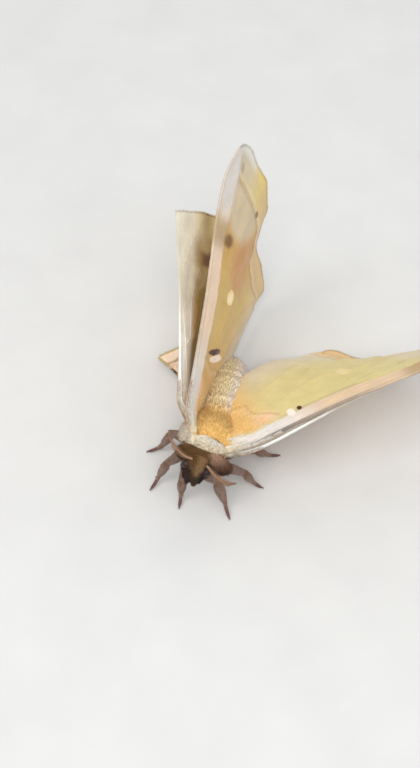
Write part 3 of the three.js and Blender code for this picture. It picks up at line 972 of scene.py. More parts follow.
def hindwing_upper():
    paint = WingPaint("hindwing_upper", 0.78, 0.25, 2.0)
    s, c, u, v, wander = paint.s, paint.c, paint.u, paint.v, paint.wander
    spot = paint.spot
    # painted shadow: the olive band follows the line where the forewing's front edge shades this wing
    shade = c - s * 0.17 + 1.5 + wander - s.band(36.2, 1.4, 3.0) * 2.2 - s.band(24, 2, 4) * 0.8
    olive = shade.step(-0.6, 1.0) * s.step(42, 36)
    outer = u + wander * 0.03 + (v * 44.0).run("SINE") * 0.004
    colour = paint.layers(
        GOLD,
        (OLIVE_TAN, s.step(26, 35)),
        (WORN_TAN, spot((36.3, 3.4), (1.8, 1.6), 1.3, 0.4) * 0.7),
        (CORNER_CREAM, s.step(42, 48) * c.step(7.5, 2.5) * 0.8),
        (OLIVE_BROWN, spot((45.6, 9.8), (2.4, 3.6), 1.3, 0.3) * 0.5),
        # the olive band, partly the eyespot's dark halo and partly painted shadow of the forewing on this
        # wing, and in it the large dark eyespot with its blue crescent and its ring
        (OLIVE_HALO_AND_SHADOW, olive * 0.85 * c.step(18, 10)),
        (BLACK, spot(HIND_EYESPOT, (6.4, 5.6), 1.2, 0.75) * 0.88),
        (BLUE_GREY, spot((22.2, 12.0), (2.6, 3.4), 1.2, 0.6) * 0.8),
        (YELLOW, spot((26.3, 12.4), (2.7, 2.4), 1.1, 0.95)),
        (RING_CREAM, spot((26.3, 12.4), (2.7, 2.4), 0.62, 0.5)),
        # the dark band inside the margin, with its pink edge
        (BROWN, outer.band(0.785, 0.02, 0.025) * c.step(3.0, 6.0) * 0.85),
        (BLACK, outer.band(0.785, 0.008, 0.022) * c.step(5.0, 10.0) * 0.6),
        (PINK_WHITE, outer.band(0.85, 0.008, 0.014) * c.step(9, 13) * 0.6),
        (HIND_MARGIN, outer.step(0.86, 0.9) * c.step(6, 12)),
        # the pale front edge, whiter towards the root with painted light that stands in for light shining
        # through the thin wing
        (paint.mix(CURL_WHITE_LIT, CURL_GREY, s.step(17, 32)), (c - s * 0.03 - 0.8 + wander).step(2.0, -0.8)),
    )
    return paint.powder(colour)


def wing_under(name, hind):
    """The under side: frosted pinkish brown, with scalloped lines and a pale margin."""
    paint = WingPaint(name, 0.82, 0.3, 3.0)
    u, wander = paint.u, paint.wander
    frost = paint.noise(paint.plan, 1.6, 5.0)
    scallop = (paint.v * (50.0 if hind else 44.0)).run("SINE").run("ABSOLUTE") * 0.018
    outer = u + wander * 0.02 + scallop
    inner = u + wander * 0.07
    window = HIND_EYESPOT if hind else (32.8, 11.0)
    colour = paint.layers(
        UNDER_ROSE,
        (UNDER_DUSK, paint.s.band(22, 6, 8)),
        (UNDER_FROST, frost.step(0.02, 0.14) * 0.7),
        (UNDER_SHADE, (wander + frost * 0.5).step(0.05, 0.25) * 0.4),
        (MAROON, outer.band(0.9, 0.005, 0.012) * 0.45),
        (UNDER_MARGIN, outer.step(0.91, 0.935)),
        (UNDER_BAND, inner.band(0.52 if hind else 0.56, 0.004, 0.05) * 0.55),
        (UNDER_LINE, inner.band(0.27, 0.003, 0.025) * 0.5),
        (MAROON, paint.spot(window, (2.4, 2.6), 1.2, 1.05) * 0.6),
        (UNDER_WINDOW, paint.spot(window, (2.4, 2.6), 1.0, 0.85)),
    )
    return paint.powder(colour)


WINGS = (  # name, outline, veins, surface, side, and how far the base sinks inwards
    ("forewing_left", FORE, FORE_VEINS, own_surface(FORE, FORE_LEFT), 1, 3.4),
    ("forewing_right", FORE, FORE_VEINS, own_surface(FORE, FORE_RIGHT), -1, 2.4),
    ("hindwing_left", HIND, HIND_VEINS, nested_surface(HIND, FORE_LEFT), 1, 4.4),
    ("hindwing_right", CURLED_HIND, HIND_VEINS, own_surface(CURLED_HIND, HIND_RIGHT), -1, 3.4),
)


def add_wings():
    fore_under = wing_under("forewing_under", False)
    hind = (hindwing_upper(), wing_under("hindwing_under", True))
    paints = {
        "forewing_left": (forewing_upper(LEFT_MARKS, "forewing_left_upper"), fore_under),
        "forewing_right": (forewing_upper(RIGHT_MARKS, "forewing_right_upper"), fore_under),
        "hindwing_left": hind,
        "hindwing_right": hind,
    }
    wings = [Wing(*row) for row in WINGS]
    for wing in wings:
        wing.build(*paints[wing.name])
    return wings


# ------------------------------------------------------------------ body: shape, as in the solids
THORAX = ((0, 3.2, -0.4), (7, 8.2, 5.8))
COLLAR = ((-0.5, -4, 0.8), (5.5, 2.6, 4.4))
HEAD = ((-1.2, -8, -1.5), (3.5, 2.8, 3.4))
FACE = ((-1.2, -9.2, -3.0), (2.2, 1.9, 2.0))
WAIST = ((0, 7.5, -0.4), (6, 13, 5.75))
FLANK = ((3.2, 2, 0.4), (4.8, 6.5, 4.4))
TEGULA_LEFT = ((3.9, -2.0, 2.3), (2.4, 2.6, 2.1))
TEGULA_RIGHT = ((-6.1, -2.2, 1.1), (2.7, 3.7, 2.7))
NAPE = ((-0.2, -6, -0.5), (6.6, 2.3, 2.9))
SHOULDER = ((-4.4, -3.6, 1.3), (2.8, 2.5, 2.7))
PALP = ((0.75, -10.6, -3.9), (0.55, 1.0, 0.6))  # left is measured from the middle of the head
ABDOMEN_START = 9
ABDOMEN_END = 35.5
ABDOMEN_DROOP = 2.6
ABDOMEN_WIDEST = 6.1
SEGMENTS = 7
RING_DEPTH = 0.007  # the fur fills most of what the solid shows
LEGS = {  # hip, knee, ankle, toe and girth
    "fore_left": ((0.6, -5, -4.6), (2.6, -6.4, 7.8), (5.0, -8.6, 2.7), (6.7, -11.4), 1),
    "fore_right": ((-2.6, -5, -4.6), (-5.2, -7.4, 7.0), (-5.4, -8.4, 2.3), (-5.3, -11), 0.85),
    "mid_left": ((3.6, -1.4, -4.6), (8.3, -2.0, 6.0), (10.4, -1.6, 2.0), (12.6, -1.8), 0.75),
    "mid_right": ((-3.9, -1.2, -4.4), (-9.6, -3.8, 7.3), (-11.6, -5.0, 2.3), (-12.9, -7.6), 0.8),
    "hind_left": ((3.6, 3.8, -5), (9.4, 5.4, 4.6), (12.4, 6.6, 1.8), (15, 7.8), 0.75),
    "hind_right": ((-3.8, 3.4, -4.8), (-10.4, 4.6, 7.0), (-13, 3.4, 2.1), (-16, 2.4), 0.8),
}
TOE_HEIGHT = 0.42
LEG_RADII = (  # of the skin, at shares of each of the three stretches
    (1.05, 1.3, 1.4, 1.15, 0.85),
    (0.8, 1.1, 1.15, 0.9, 0.6),
    (0.56, 0.52, 0.5, 0.46, 0.36),
)
TARSAL_JOINTS = 5
THORAX_COAT = 1.15
HEAD_COAT = 0.75
ABDOMEN_COAT = 0.55
VOXEL = 0.24
EGGS = (  # each with the depth of its coat
    (THORAX, THORAX_COAT),
    (COLLAR, THORAX_COAT),
    (WAIST, THORAX_COAT),
    (FLANK, THORAX_COAT),
    (TEGULA_LEFT, THORAX_COAT),
    (TEGULA_RIGHT, THORAX_COAT),
    (SHOULDER, THORAX_COAT),
    (NAPE, HEAD_COAT),
    (HEAD, HEAD_COAT),
    (FACE, 0.2),
)


def egg(shape, shrink=0.0, around=40, along=26):
    """An egg shape of the body. Returns its points and triangles."""
    centre, half = (np.array(values, float) for values in shape)
    theta = np.linspace(0, pi, along + 1)[1:-1, None]
    phi = 2 * pi * np.arange(around)[None] / around
    ring = np.stack([np.sin(theta) * np.cos(phi), np.cos(theta) + 0 * phi, np.sin(theta) * np.sin(phi)], -1)
    local = np.concatenate([ring.reshape(-1, 3), [[0, 1, 0], [0, -1, 0]]])
    return body_point(centre + local * (half - shrink)), capped_faces(along - 1, around)


def abdomen_radius(t):
    body = np.sin(pi * (0.24 + 0.71 * t)) ** 0.62
    return ABDOMEN_WIDEST * body * (1 - RING_DEPTH * np.abs(np.cos(pi * SEGMENTS * t)) ** 5)


def abdomen_axis(t):
    t = np.asarray(t, float)
    back = ABDOMEN_START + (ABDOMEN_END - ABDOMEN_START) * t
    return np.stack([0 * t, back, -ABDOMEN_DROOP * t**2], -1)


def abdomen_mesh(shrink, steps=84, around=44):
    t = np.linspace(0, 1, steps + 1)
    phi = 2 * pi * np.arange(around) / around
    radius = (abdomen_radius(t) - shrink)[:, None]
    ring = np.stack([radius * np.cos(phi), 0 * radius * phi, 0.93 * radius * np.sin(phi)], -1)
    rings = (abdomen_axis(t)[:, None] + ring).reshape(-1, 3)
    poles = np.array([abdomen_axis(0) - (0, 0.5, 0), abdomen_axis(1) + (0, 0.7 - shrink, 0)])
    return body_point(np.concatenate([rings, poles])), capped_faces(steps + 1, around)[:, ::-1]


def leg_line(hip, knee, ankle, toe, girth, count=10):
    """Points and skin radii of a leg from hip to toe."""
    joints = [body_point(hip), floor_point(*knee), floor_point(*ankle), floor_point(*toe, TOE_HEIGHT)]
    points, radii = [], []
    share = np.linspace(0, 1, count + 1)
    for k, knots in enumerate(LEG_RADII):
        stretch = joints[k] + (joints[k + 1] - joints[k]) * share[:, None]
        radius = np.interp(share, np.linspace(0, 1, len(knots)), knots)
        if k < 2:
            radius = radius * girth
        else:
            stretch[:, 2] -= 0.14 * np.sin(pi * share) * (joints[2][2] - joints[3][2])
            radius = radius * (1 - 0.16 * np.abs(np.cos(pi * TARSAL_JOINTS * share)) ** 4)
        points.append(stretch if k == 0 else stretch[1:])
        radii.append(radius if k == 0 else radius[1:])
    return np.concatenate(points), np.concatenate(radii)


LEG_LINES = {name: leg_line(*joints) for name, joints in LEGS.items()}


def palp(side):
    (left, back, up), half = PALP
    return egg(((HEAD[0][0] + side * left, back, up), half), 0, 16, 12)


def smooth_waist(points, faces, rounds=90):
    """Evens out the fold where the abdomen leaves the thorax, and leaves the legs as they are."""
    left, back, up = body_place(points).T
    trunk = 1 - zone(np.hypot(left, up), 6.5, 7.5)
    share = (zone(back, 1, 4) * (1 - zone(back, 14, 18)) * trunk)[:, None] * 0.5
    pairs = np.concatenate([faces[:, [0, 1]], faces[:, [1, 2]], faces[:, [2, 0]]])
    near = np.bincount(pairs[:, 0], minlength=len(points))[:, None]
    for _ in range(rounds):
        total = [np.bincount(pairs[:, 0], points[pairs[:, 1], k], len(points)) for k in range(3)]
        points = points + (np.stack(total, 1) / near - points) * share
    return points


def skin_mesh():
    """One closed skin over trunk and legs. Returns its points and triangles."""
    parts = [egg(shape, coat) for shape, coat in EGGS]
    parts += [palp(1), palp(-1), abdomen_mesh(ABDOMEN_COAT)]
    parts += [tube(points, radii, 14) for points, radii in LEG_LINES.values()]
    points, faces = gather(parts)
    mesh = bpy.data.meshes.new("raw_skin")
    mesh.from_pydata(points.tolist(), [], faces.tolist())
    raw = add_object("raw_skin", mesh)
    remesh = raw.modifiers.new("remesh", "REMESH")
    remesh.mode = "VOXEL"
    remesh.voxel_size = VOXEL
    smooth = raw.modifiers.new("smooth", "SMOOTH")
    smooth.iterations = 3
    triangles = raw.modifiers.new("triangles", "TRIANGULATE")
    triangles.quad_method = "SHORTEST_DIAGONAL"
    evaluated = raw.evaluated_get(bpy.context.evaluated_depsgraph_get())
    result = evaluated.to_mesh()
    points = np.zeros(3 * len(result.vertices), np.float32)
    result.vertices.foreach_get("co", points)
    faces = np.zeros(3 * len(result.polygons), int)
    result.loops.foreach_get("vertex_index", faces)
    evaluated.to_mesh_clear()
    bpy.data.objects.remove(raw)
    bpy.data.meshes.remove(mesh)
    points, faces = points.reshape(-1, 3).astype(float), faces.reshape(-1, 3)
    return keep_over_floor(smooth_waist(points, faces)), faces


# ------------------------------------------------------------------ body: where a point is
class BodyMap:
    """For points on the skin: which part they are on, how far along it, and which way the coat lies."""

    def __init__(self, points):
        self.place = body_place(points)
        self.limb = np.zeros(len(points))
        self.leg = np.full(len(points), -1)
        self.along = np.zeros_like(points)
        self.leg_angle = np.zeros(len(points))
        gaps = [self.egg_gap(shape, coat) for shape, coat in EGGS]
        trunk = np.minimum.reduce([*gaps, self.abdomen_gap()])
        nearest = np.full(len(points), 1e9)
        for number, (line, radii) in enumerate(LEG_LINES.values()):
            away = np.linalg.norm(points[:, None] - line[None], axis=2) - radii
            k = away.argmin(1)
            gap = away[np.arange(len(points)), k]
            here = (gap < nearest) & (gap < trunk - 0.15)
            nearest = np.where(here, gap, nearest)
            way = unit(np.gradient(line, axis=0))
            self.leg[here] = number
            self.limb[here] = (0.02 + 0.98 * k / (len(line) - 1))[here]
            self.along[here] = way[k][here]
            first, second = across_of(way, np.zeros(len(way)))
            off = points - line[k]
            angle = np.arctan2((off * second[k]).sum(1), (off * first[k]).sum(1))
            self.leg_angle[here] = angle[here]

    def egg_gap(self, shape, shrink):
        centre, half = (np.array(values, float) for values in shape)
        half = half - shrink
        return (np.linalg.norm((self.place - centre) / half, axis=1) - 1) * half.min()

    def abdomen_gap(self):
        t = (self.place[:, 1] - ABDOMEN_START) / (ABDOMEN_END - ABDOMEN_START)
        inside = np.clip(t, 0, 1)
        radius = abdomen_radius(inside) - ABDOMEN_COAT
        off = self.place - abdomen_axis(inside)
        return np.linalg.norm(off / (1, 1, 0.93), axis=1) - radius

    def unwrap(self):
        """Places on the bake map: the trunk unrolled around its length, the legs in strips beside it."""
        left, back, up = self.place.T
        around = np.arctan2(left, up + 0.6) / (2 * pi) + 0.5
        trunk = np.stack([0.02 + 0.94 * around, 0.02 + 0.6 * (back + 13) / 50], -1)
        strip = (self.leg + 0.5 + 0.8 * self.leg_angle / (2 * pi)) / len(LEGS)
        legs = np.stack([0.02 + 0.94 * strip, 0.66 + 0.3 * self.limb], -1)
        return np.where(self.leg[:, None] >= 0, legs, trunk)


def coat_lie(body):
    """The direction in which the coat lies on the trunk, before it is laid on the skin."""
    left, back, up = body.place.T
    lie = np.stack([0.05 * left, 1 + 0 * back, -0.1 - 0.07 * (3 - up)], -1)
    collar = ((1 - zone(back, -3.0, -2.2)) * zone(back, -7.5, -6.4))[:, None]
    lie = lie * (1 - collar) + collar * np.stack([0.3 * (left + 0.5), -0.3 + 0 * back, -0.4 + 0 * back], -1)
    fringe = (1 - zone(back, -5.2, -4.6))[:, None]
    lie = lie * (1 - fringe) + fringe * np.stack([0.22 * (left + 0.8), -1 + 0 * back, -0.45 + 0 * back], -1)
    head = (1 - zone(back, -7.8, -7.2))[:, None]
    off = body.place - np.array(HEAD[0])
    radial = np.stack([0.5 * off[:, 0], -1 + 0 * back, -0.75 + 0.12 * off[:, 2]], -1)
    lie = lie * (1 - head) + head * radial
    return body_direction(lie)


# ------------------------------------------------------------------ body: colour
COLLAR_GREY = srgb(236, 230, 218)
COLLAR_CREAM = srgb(250, 236, 206)
THORAX_ORANGE = srgb(255, 210, 126)
UNDER_TAN = srgb(216, 174, 140)
ABDOMEN_TAN = srgb(255, 240, 230)
ABDOMEN_GOLD = srgb(255, 236, 190)
ABDOMEN_RING = srgb(226, 188, 152)
ABDOMEN_UNDER = srgb(206, 170, 146)
# painted shadow in the creases between the collar and the thorax fur
CREASE_SHADOW_BROWN = srgb(92, 70, 40)
SHOULDER_SHADE = srgb(176, 156, 130)
HEAD_BROWN = srgb(132, 88, 54)
HEAD_OLIVE = srgb(122, 90, 50)
# dark brown fur of the face, also used as painted shadow under the head and the lobe
HEAD_DARK_AND_SHADOW = srgb(46, 20, 8)
HEAD_PALE = srgb(176, 138, 96)
LOBE_PINK = srgb(208, 168, 142)
LOBE_BROWN = srgb(120, 80, 54)
LEG_BROWN = srgb(148, 120, 104)
LEG_PINK = srgb(180, 150, 138)
FOOT_RED = srgb(104, 66, 62)
SEGMENT = (ABDOMEN_END - ABDOMEN_START) / SEGMENTS


def body_colour(paint):
    """The markings of skin and coat alike, with painted shade in the collar creases and under the head, from
    the place where the skin is or the tuft is rooted.
    """
    left, back, up = paint.vector("place")
    limb = paint.number("limb")
    place = paint.attribute("place")
    patch = paint.noise(place, 0.7)
    fine = paint.noise(place, 2.6)
    behind = back + patch * 0.9
    height = up + patch * 1.2
    ring = ((back - ABDOMEN_START) / SEGMENT + fine * 0.12).run("FRACT")
    abdomen = paint.layers(
        ABDOMEN_TAN,
        (ABDOMEN_GOLD, (left + patch * 1.5).step(2.5, -1.5) * height.step(0.0, 3.0)),
        (ABDOMEN_RING, ring.step(0.3, 0.02) * 0.12),
        (ABDOMEN_UNDER, height.step(-1.0, -3.5) * 0.7),
    )
    collar = paint.mix(COLLAR_GREY, COLLAR_CREAM, height.step(4.4, 3.0))
    pad = paint.mix(COLLAR_GREY, COLLAR_CREAM, fine.step(-0.1, 0.1))
    over_wings = height.step(-0.9, 0.4)
    pads = (left + 0.2).run("ABSOLUTE").step(3.7, 4.5) * behind.step(0.9, -0.4) * over_wings
    # painted shadow: two dark creases where the collar fur meets the orange thorax hair
    crease_shadows = oval(left, back, (0.7, -3.4), (1.1, 0.4)).step(1.4, 0.6)
    crease_shadows = crease_shadows + oval(left, back, (-3.2, -3.4), (0.8, 0.35)).step(1.4, 0.6) * 0.7
    # the olive head with its pale streak, dark face and the pink lobe beside it; under the face and under the
    # lobe the dark is partly painted shadow
    lobe = paint.layers(
        LOBE_PINK,
        (LOBE_BROWN, height.step(1.7, 0.5)),
        # painted shadow under the lobe
        (HEAD_DARK_AND_SHADOW, height.step(0.6, -1.0) * 0.9),
    )
    head = paint.layers(
        HEAD_OLIVE,
        (HEAD_PALE, (left + 0.6).band(0.0, 0.5, 0.7) * behind.step(-6.4, -7.4) * 0.8),
        # darker underneath and on the right side: dark fur of the face, and painted shadow under the head
        (HEAD_DARK_AND_SHADOW, (height + (left + 1.5).step(0.0, -1.5) * -1.2).step(-1.0, -2.4) * 0.9),
        (HEAD_DARK_AND_SHADOW, (left - 0.75).band(0.0, 0.4, 0.5) * behind.step(-6.8, -7.6)),
        (lobe, (left + (back + 7.5) * 0.6).step(1.0, 1.8)),
        (HEAD_DARK_AND_SHADOW, fine.step(0.02, 0.2) * 0.5),
    )
    flank = (left.run("ABSOLUTE") - 2.5).run("MAXIMUM", 0.0)
    rim = up + fine * 0.6 - left * 0.12 + flank * flank * 0.05
    face = behind.step(-4.0, -4.5) * rim.step(2.1, 1.8) + height.step(1.0, 0.0) * behind.step(-1.4, -2.4)
    leg = paint.layers(
        LEG_BROWN,
        (LEG_PINK, fine.step(-0.1, 0.15)),
        (HEAD_BROWN, (limb.band(0.345, 0.03, 0.04) + limb.band(0.67, 0.02, 0.03)) * 0.6),
        (FOOT_RED, limb.step(0.68, 0.8) * 0.8),
    )
    return paint.layers(
        UNDER_TAN,
        (THORAX_ORANGE, height.step(-2.5, 1.0)),
        (abdomen, behind.step(4.0, 8.8)),
        (collar, behind.step(-3.3, -3.8) * height.step(0.6, 1.6)),
        (pad, pads),
        # painted shadow in the creases
        (CREASE_SHADOW_BROWN, crease_shadows * height.step(2.6, 3.4) * (fine * 1.5 + 0.8)),
        (SHOULDER_SHADE, left.step(-3.8, -5.2) * behind.step(0.5, -0.5) * over_wings * 0.5),
        (head, face.run("MINIMUM", 1.0)),
        (leg, limb.step(0.005, 0.03)),
    )


def skin_paint():
    paint = Paint("skin_down", 0.85, 0.2)
    down = paint.noise(paint.attribute("place"), 6.0, 3.0)
    colour = paint.shade(body_colour(paint), 0.86 + down * 0.3)
    return paint.finish(colour, down, 0.12)


def fur_colour(paint, colour):
    """Painted shade: darker at the foot of a tuft, where the coat shades it, paler at its tip; and no two
    tufts the same.
    """
    along, tone = paint.number("along"), paint.number("tone")
    return paint.shade(colour, (0.91 + along * 0.19) * (1.0 + tone * 0.07))


def fur_paint():
    paint = Paint("body_fur", 0.75, 0.1)
    return paint.finish(fur_colour(paint, body_colour(paint)))


# ------------------------------------------------------------------ body: coats
def corner_normals(points, faces):
    flat = np.cross(points[faces[:, 1]] - points[faces[:, 0]], points[faces[:, 2]] - points[faces[:, 0]])
    total = np.zeros_like(points)
    for k in range(3):
        np.add.at(total, faces[:, k], flat)
    return unit(total), np.linalg.norm(flat, axis=1) / 2


def scatter(points, faces, normals, areas, weights, count):
    """Random places on the triangles, as dense as the weights of the points ask for."""
    share = areas * weights[faces].mean(1)
    chosen = RANDOM.choice(len(faces), count, p=share / share.sum())
    a, b = RANDOM.random(count), RANDOM.random(count)
    flip = a + b > 1
    a, b = np.where(flip, 1 - a, a), np.where(flip, 1 - b, b)
    corner = faces[chosen]
    parts = ((1 - a - b, 0), (a, 1), (b, 2))
    root = sum(points[corner[:, k]] * w[:, None] for w, k in parts)
    normal = unit(sum(normals[corner[:, k]] * w[:, None] for w, k in parts))
    return root, normal


def laid(lie, normal, lift, scatter_by):
    """Directions that follow the lie of the coat, lifted off the skin by an angle and disturbed a little."""
    lie = lie + RANDOM.normal(0, scatter_by, lie.shape) * np.linalg.norm(lie, axis=1, keepdims=True)
    flat = unit(lie - normal * (lie * normal).sum(1, keepdims=True))
    lift = np.asarray(lift)[..., None]
    return flat * np.cos(lift) + normal * np.sin(lift), flat


def coat_piece(name, shape, map_places, paint, attributes):
    """One piece of tufts, with the attributes that its paint reads and its bake map."""
    points, faces, along, steps = tufts(*shape)
    piece = make_piece(name, keep_over_floor(points), faces, [paint])
    write(piece, "along", along)
    write(piece, "tone", np.repeat(RANDOM.normal(0, 1, len(map_places)), TUFT_POINTS))
    for label, values in attributes.items():
        write(piece, label, np.repeat(values, TUFT_POINTS, axis=0))
    write_map(piece, "OFBake", np.repeat(map_places, TUFT_POINTS, axis=0) + steps)


def wing_fur_paint():
    """Hair on the wing bases goes on from the pale front band, the orange base and the paler under side."""
    paint = Paint("wing_fur", 0.75, 0.1)
    s, c, upper = paint.vector("root_place")
    band = (c - 2.2 + paint.noise(paint.join(s, c), 0.5) * 2.0).step(0.6, -0.6)
    colour = paint.mix(THORAX_ORANGE, srgb(240, 212, 162), s.step(4, 10))
    colour = paint.mix(colour, paint.mix(COLLAR_CREAM, COLLAR_GREY, s.step(0.5, 4.0)), band)
    colour = paint.mix(srgb(226, 196, 168), colour, upper)
    return paint.finish(fur_colour(paint, colour))


WING_HAIRS = 2100  # on each side of each wing
WING_MAP_SCALE = (170, 200)  # millimetres of wing on the whole bake map


def add_wing_hair(wings):
    paint = wing_fur_paint()
    columns = []
    for number, wing in enumerate(wings):
        for side in (1, -1):
            root, normal, along, place, fade = wing.hair_roots(WING_HAIRS, side)
            rise = np.radians(RANDOM.normal(11, 3, WING_HAIRS))
            direction, flat = laid(along, normal, rise, 0.14)
            curl = flat * 0.1 - normal * 0.22 + RANDOM.normal(0, 0.05, flat.shape)
            length = (0.7 + 1.7 * fade) * RANDOM.uniform(0.6, 1.1, WING_HAIRS)
            cell = np.array([number % 2 + 0.25, number // 2 + 0.25 * (side > 0) + 0.05]) / 2
            spot = cell + place / WING_MAP_SCALE
            up = np.full((WING_HAIRS, 1), float(side > 0))
            columns.append((root, direction, curl, length, np.hstack([place, up]), spot))
    *shape, place, spot = (np.concatenate(column) for column in zip(*columns))
    shape.append(RANDOM.uniform(0.08, 0.14, len(place)))
    coat_piece("coat_wing_bases", shape, spot, paint, {"root_place": place})


# Each growth gives where the coat grows, how long it is, and by how much its lift is lowered.
def thorax_growth(body):
    _, back, up = body.place.T
    here = (body.leg < 0) & (back > -5.6) & (back < 10.5)
    length = 1.15 + 1.5 * zone(back, -3.2, 1.5) - 0.4 * zone(-up, 2, 4)
    return here, length, 1 - 0.6 * zone(back, -2, 2)


def head_growth(body):
    back = body.place[:, 1]
    here = (body.leg < 0) & (back <= -5.2)
    cheek = zone(np.abs(body.place[:, 0] - HEAD[0][0]), 1.2, 2.4) * (1 - zone(-back, 9.0, 10.0))
    return here, 1.45 + 0.6 * cheek - 0.55 * zone(-back, 9.0, 10.5), 1


def abdomen_growth(body):
    back = body.place[:, 1]
    here = (body.leg < 0) & (back > 8.6)
    return here, 1.9 + 0.5 * (1 - zone(back, 9, 14)), 1


def leg_growth(body):
    here = body.leg >= 0
    return here, 1.25 - 0.35 * zone(body.limb, 0.3, 0.6) - 0.62 * zone(body.limb, 0.64, 0.74), 1


COATS = (  # name, slot, growth, upper or under side, tufts, width, lift in degrees, disorder
    ("coat_thorax_upper", "thorax_fur", thorax_growth, 1, 18500, 0.2, 36, 0.16),
    ("coat_thorax_under", "thorax_fur", thorax_growth, -1, 12000, 0.2, 30, 0.2),
    ("coat_head", "head_fur", head_growth, 0, 17000, 0.13, 44, 0.34),
    ("coat_abdomen_upper", "abdomen_fur", abdomen_growth, 1, 18500, 0.22, 8, 0.06),
    ("coat_abdomen_under", "abdomen_fur", abdomen_growth, -1, 14000, 0.2, 15, 0.12),
    ("coat_legs", "leg_fur", leg_growth, 0, 18500, 0.13, 24, 0.16),
)
UPPER_LIMIT = -0.6  # the upper pieces reach down to this height
ROOT_DEPTH = 0.08  # of a tuft's foot in the skin


def add_body():
    points, faces = skin_mesh()
    paint = skin_paint()
    skin = make_piece("moth_skin", points, faces, [paint])
    body = BodyMap(points)
    write(skin, "place", body.place)
    write(skin, "limb", body.limb)
    flesh = ["thorax", "head", "abdomen"]
    flesh += [part + "_" + leg for part in ("femur", "tibia", "tarsus") for leg in LEGS]
    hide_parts(*flesh)
    normals, areas = corner_normals(points, faces)
    fur = fur_paint()
    for name, slot, growth, side, count, width, lift, disorder in COATS:
        here, _, _ = growth(body)
        weights = here.astype(float)
        if side:
            weights = weights * ((body.place[:, 2] - UPPER_LIMIT) * side > 0)
        if name == "coat_legs":
            weights = weights * (1 + 2.5 * zone(body.limb, 0.64, 0.72))
        root, normal = scatter(points, faces, normals, areas, weights, count)
        at = BodyMap(root)
        _, length, lowered = growth(at)
        lie = np.where(at.leg[:, None] >= 0, at.along, coat_lie(at))
        rise = np.radians(RANDOM.normal(lift, lift * 0.25, count)) * lowered
        direction, flat = laid(lie, normal, rise, disorder)
        curl = flat * 0.12 - normal * (0.55 * np.sin(rise))[:, None] + RANDOM.normal(0, 0.05, (count, 3))
        length = length * RANDOM.uniform(0.65, 1.15, count)
        wide = width * RANDOM.uniform(0.7, 1.3, count)
        shape = (root - normal * ROOT_DEPTH, direction, curl, length, wide)
        coat_piece(name, shape, at.unwrap(), fur, {"place": at.place, "limb": at.limb})


# ------------------------------------------------------------------ eyes, antennae, claws
EYE_RADIUS = 1.15
EYE_OFFSET = (2.4, -1.15, 0.35)  # from the centre of the head, mirrored for the right eye
ANTENNAE = {
    "left": [(0.6, -9.9, 1.3), (2.6, -11.2, 1.0), (5.0, -10.8, -0.4), (7.2, -9.0, -2.0), (8.6, -6.6, -3.2)],
    "right": [(-3.0, -9.8, 1.4), (-5.2, -10.2, 1.8), (-7.6, -8.6, 1.6), (-9.2, -5.6, 0.8), (-9.8, -2.6, 0.2)],
}
ANTENNA_WIDTH = (0.34, 1.0, 1.35, 1.1, 0.3)
ANTENNA_JOINTS = 30
BRANCH_LEANS = ((0.22, 0.35), (-0.22, 0.75))  # towards the back and along the shaft, of the two pairs
BRISTLE_PLACES = (0.25, 0.4, 0.55, 0.7, 0.85, 1.0)  # along a branch
BRISTLE_LENGTH = 0.24
BRISTLE_WIDTH = 0.045


def add_eyes():
    paint = Paint("compound_eye", 0.3, shine=0.35)
    paint.shader.inputs["Coat Weight"].default_value = 0.15
    place = paint.object_place()
    facets = Number(paint.tree, paint.node("TexVoronoi", "Distance", {"Vector": place, "Scale": 11000.0}))
    gleam = paint.noise(place, 900.0)
    paint.finish(paint.mix(srgb(24, 14, 10), srgb(62, 34, 20), gleam + 0.45), facets, -0.03)
    for name, side in (("left", 1), ("right", -1)):
        centre = [HEAD[0][k] + EYE_OFFSET[k] * (side if k == 0 else 1) for k in range(3)]
        points, faces = egg((centre, (EYE_RADIUS,) * 3), 0, 48, 32)
        piece = make_piece("eyeball_" + name, points, faces, [paint.material])
        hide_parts("eye_" + name)


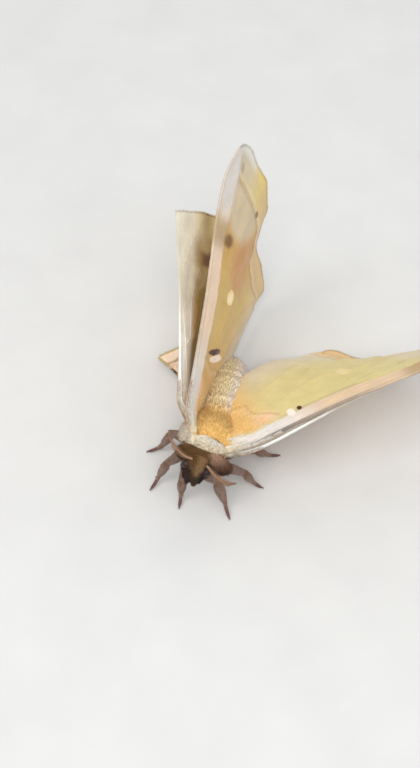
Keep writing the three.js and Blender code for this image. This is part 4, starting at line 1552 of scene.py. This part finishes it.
def antenna(name, points):
    """A jointed shaft with two pairs of bristled side branches on each joint."""
    share = np.linspace(0, 1, ANTENNA_JOINTS + 1)
    line = spline(body_point(points), share)
    ways = unit(np.gradient(line, axis=0))
    reach = np.interp(share, np.linspace(0, 1, len(ANTENNA_WIDTH)), ANTENNA_WIDTH)
    dense = np.linspace(0, 1, 4 * ANTENNA_JOINTS + 1)
    shaft = spline(body_point(points), dense)
    radius = (0.26 - 0.17 * dense) * (1 - 0.12 * np.abs(np.cos(pi * ANTENNA_JOINTS * dense)) ** 6)
    parts = [tube(shaft, radius, 8)]
    roots, directions = [], []
    steps = np.linspace(0, 1, 5)[:, None]
    for k in range(1, ANTENNA_JOINTS):
        across = unit(np.cross(BACK, ways[k]))
        for side, (tilt, slant) in product((1, -1), BRANCH_LEANS):
            way = unit(across * side + BACK * tilt + ways[k] * slant)
            bend = ways[k] * 0.25
            branch = line[k] + (way * steps + bend * steps**2) * reach[k] * 0.96
            parts.append(tube(branch, 0.055 - 0.03 * steps[:, 0], 5))
            for step, turn in product(BRISTLE_PLACES, (1, -1)):
                roots.append(line[k] + (way * step + bend * step**2) * reach[k] * 0.96)
                directions.append(unit(way * 0.5 + BACK * turn + ways[k] * 0.3))
    roots, directions = np.array(roots), np.array(directions)
    size = np.ones(len(roots))
    shape = (roots, directions, 0 * directions, size * BRISTLE_LENGTH, size * BRISTLE_WIDTH)
    bristles, faces, _, _ = tufts(*shape)
    parts.append((bristles, faces))
    return gather(parts)


def add_antennae():
    paint = Paint("antenna_tan", 0.6, 0.2)
    grain = paint.noise(paint.object_place(), 1400.0, 3.0)
    paint.finish(paint.mix(srgb(136, 98, 72), srgb(178, 138, 106), grain + 0.5), grain, 0.03)
    for name, places in ANTENNAE.items():
        points, faces = antenna(name, places)
        piece = make_piece("feeler_" + name, points, faces, [paint.material])
        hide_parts("antenna_" + name)


def add_claws():
    """Two hooked claws at the end of each foot."""
    paint = Paint("claw_horn", 0.35)
    grain = paint.noise(paint.object_place(), 900.0)
    paint.finish(paint.mix(srgb(58, 26, 18), srgb(96, 48, 32), grain + 0.5))
    parts = []
    for line, _ in LEG_LINES.values():
        toe, way = line[-1], unit(line[-1] - line[-3])
        way = unit(way * (1, 1, 0))
        side = np.cross(way, (0, 0, 1.0))
        for spread in (0.45, -0.45):
            out = unit(way + side * spread)
            steps = np.linspace(0, 1, 7)[:, None]
            hook = toe + out * 0.62 * steps + np.array([0, 0, 1.0]) * (0.2 * steps - 0.44 * steps**2)
            hook[:, 2] = np.maximum(hook[:, 2], 0.07)
            parts.append(tube(hook, 0.12 - 0.085 * steps[:, 0], 7))
    points, faces = gather(parts)
    make_piece("claws", points, faces, [paint.material])


add_camera()
add_studio()
add_floor()
made_wings = add_wings()
add_body()
add_wing_hair(made_wings)
add_eyes()
add_antennae()
add_claws()
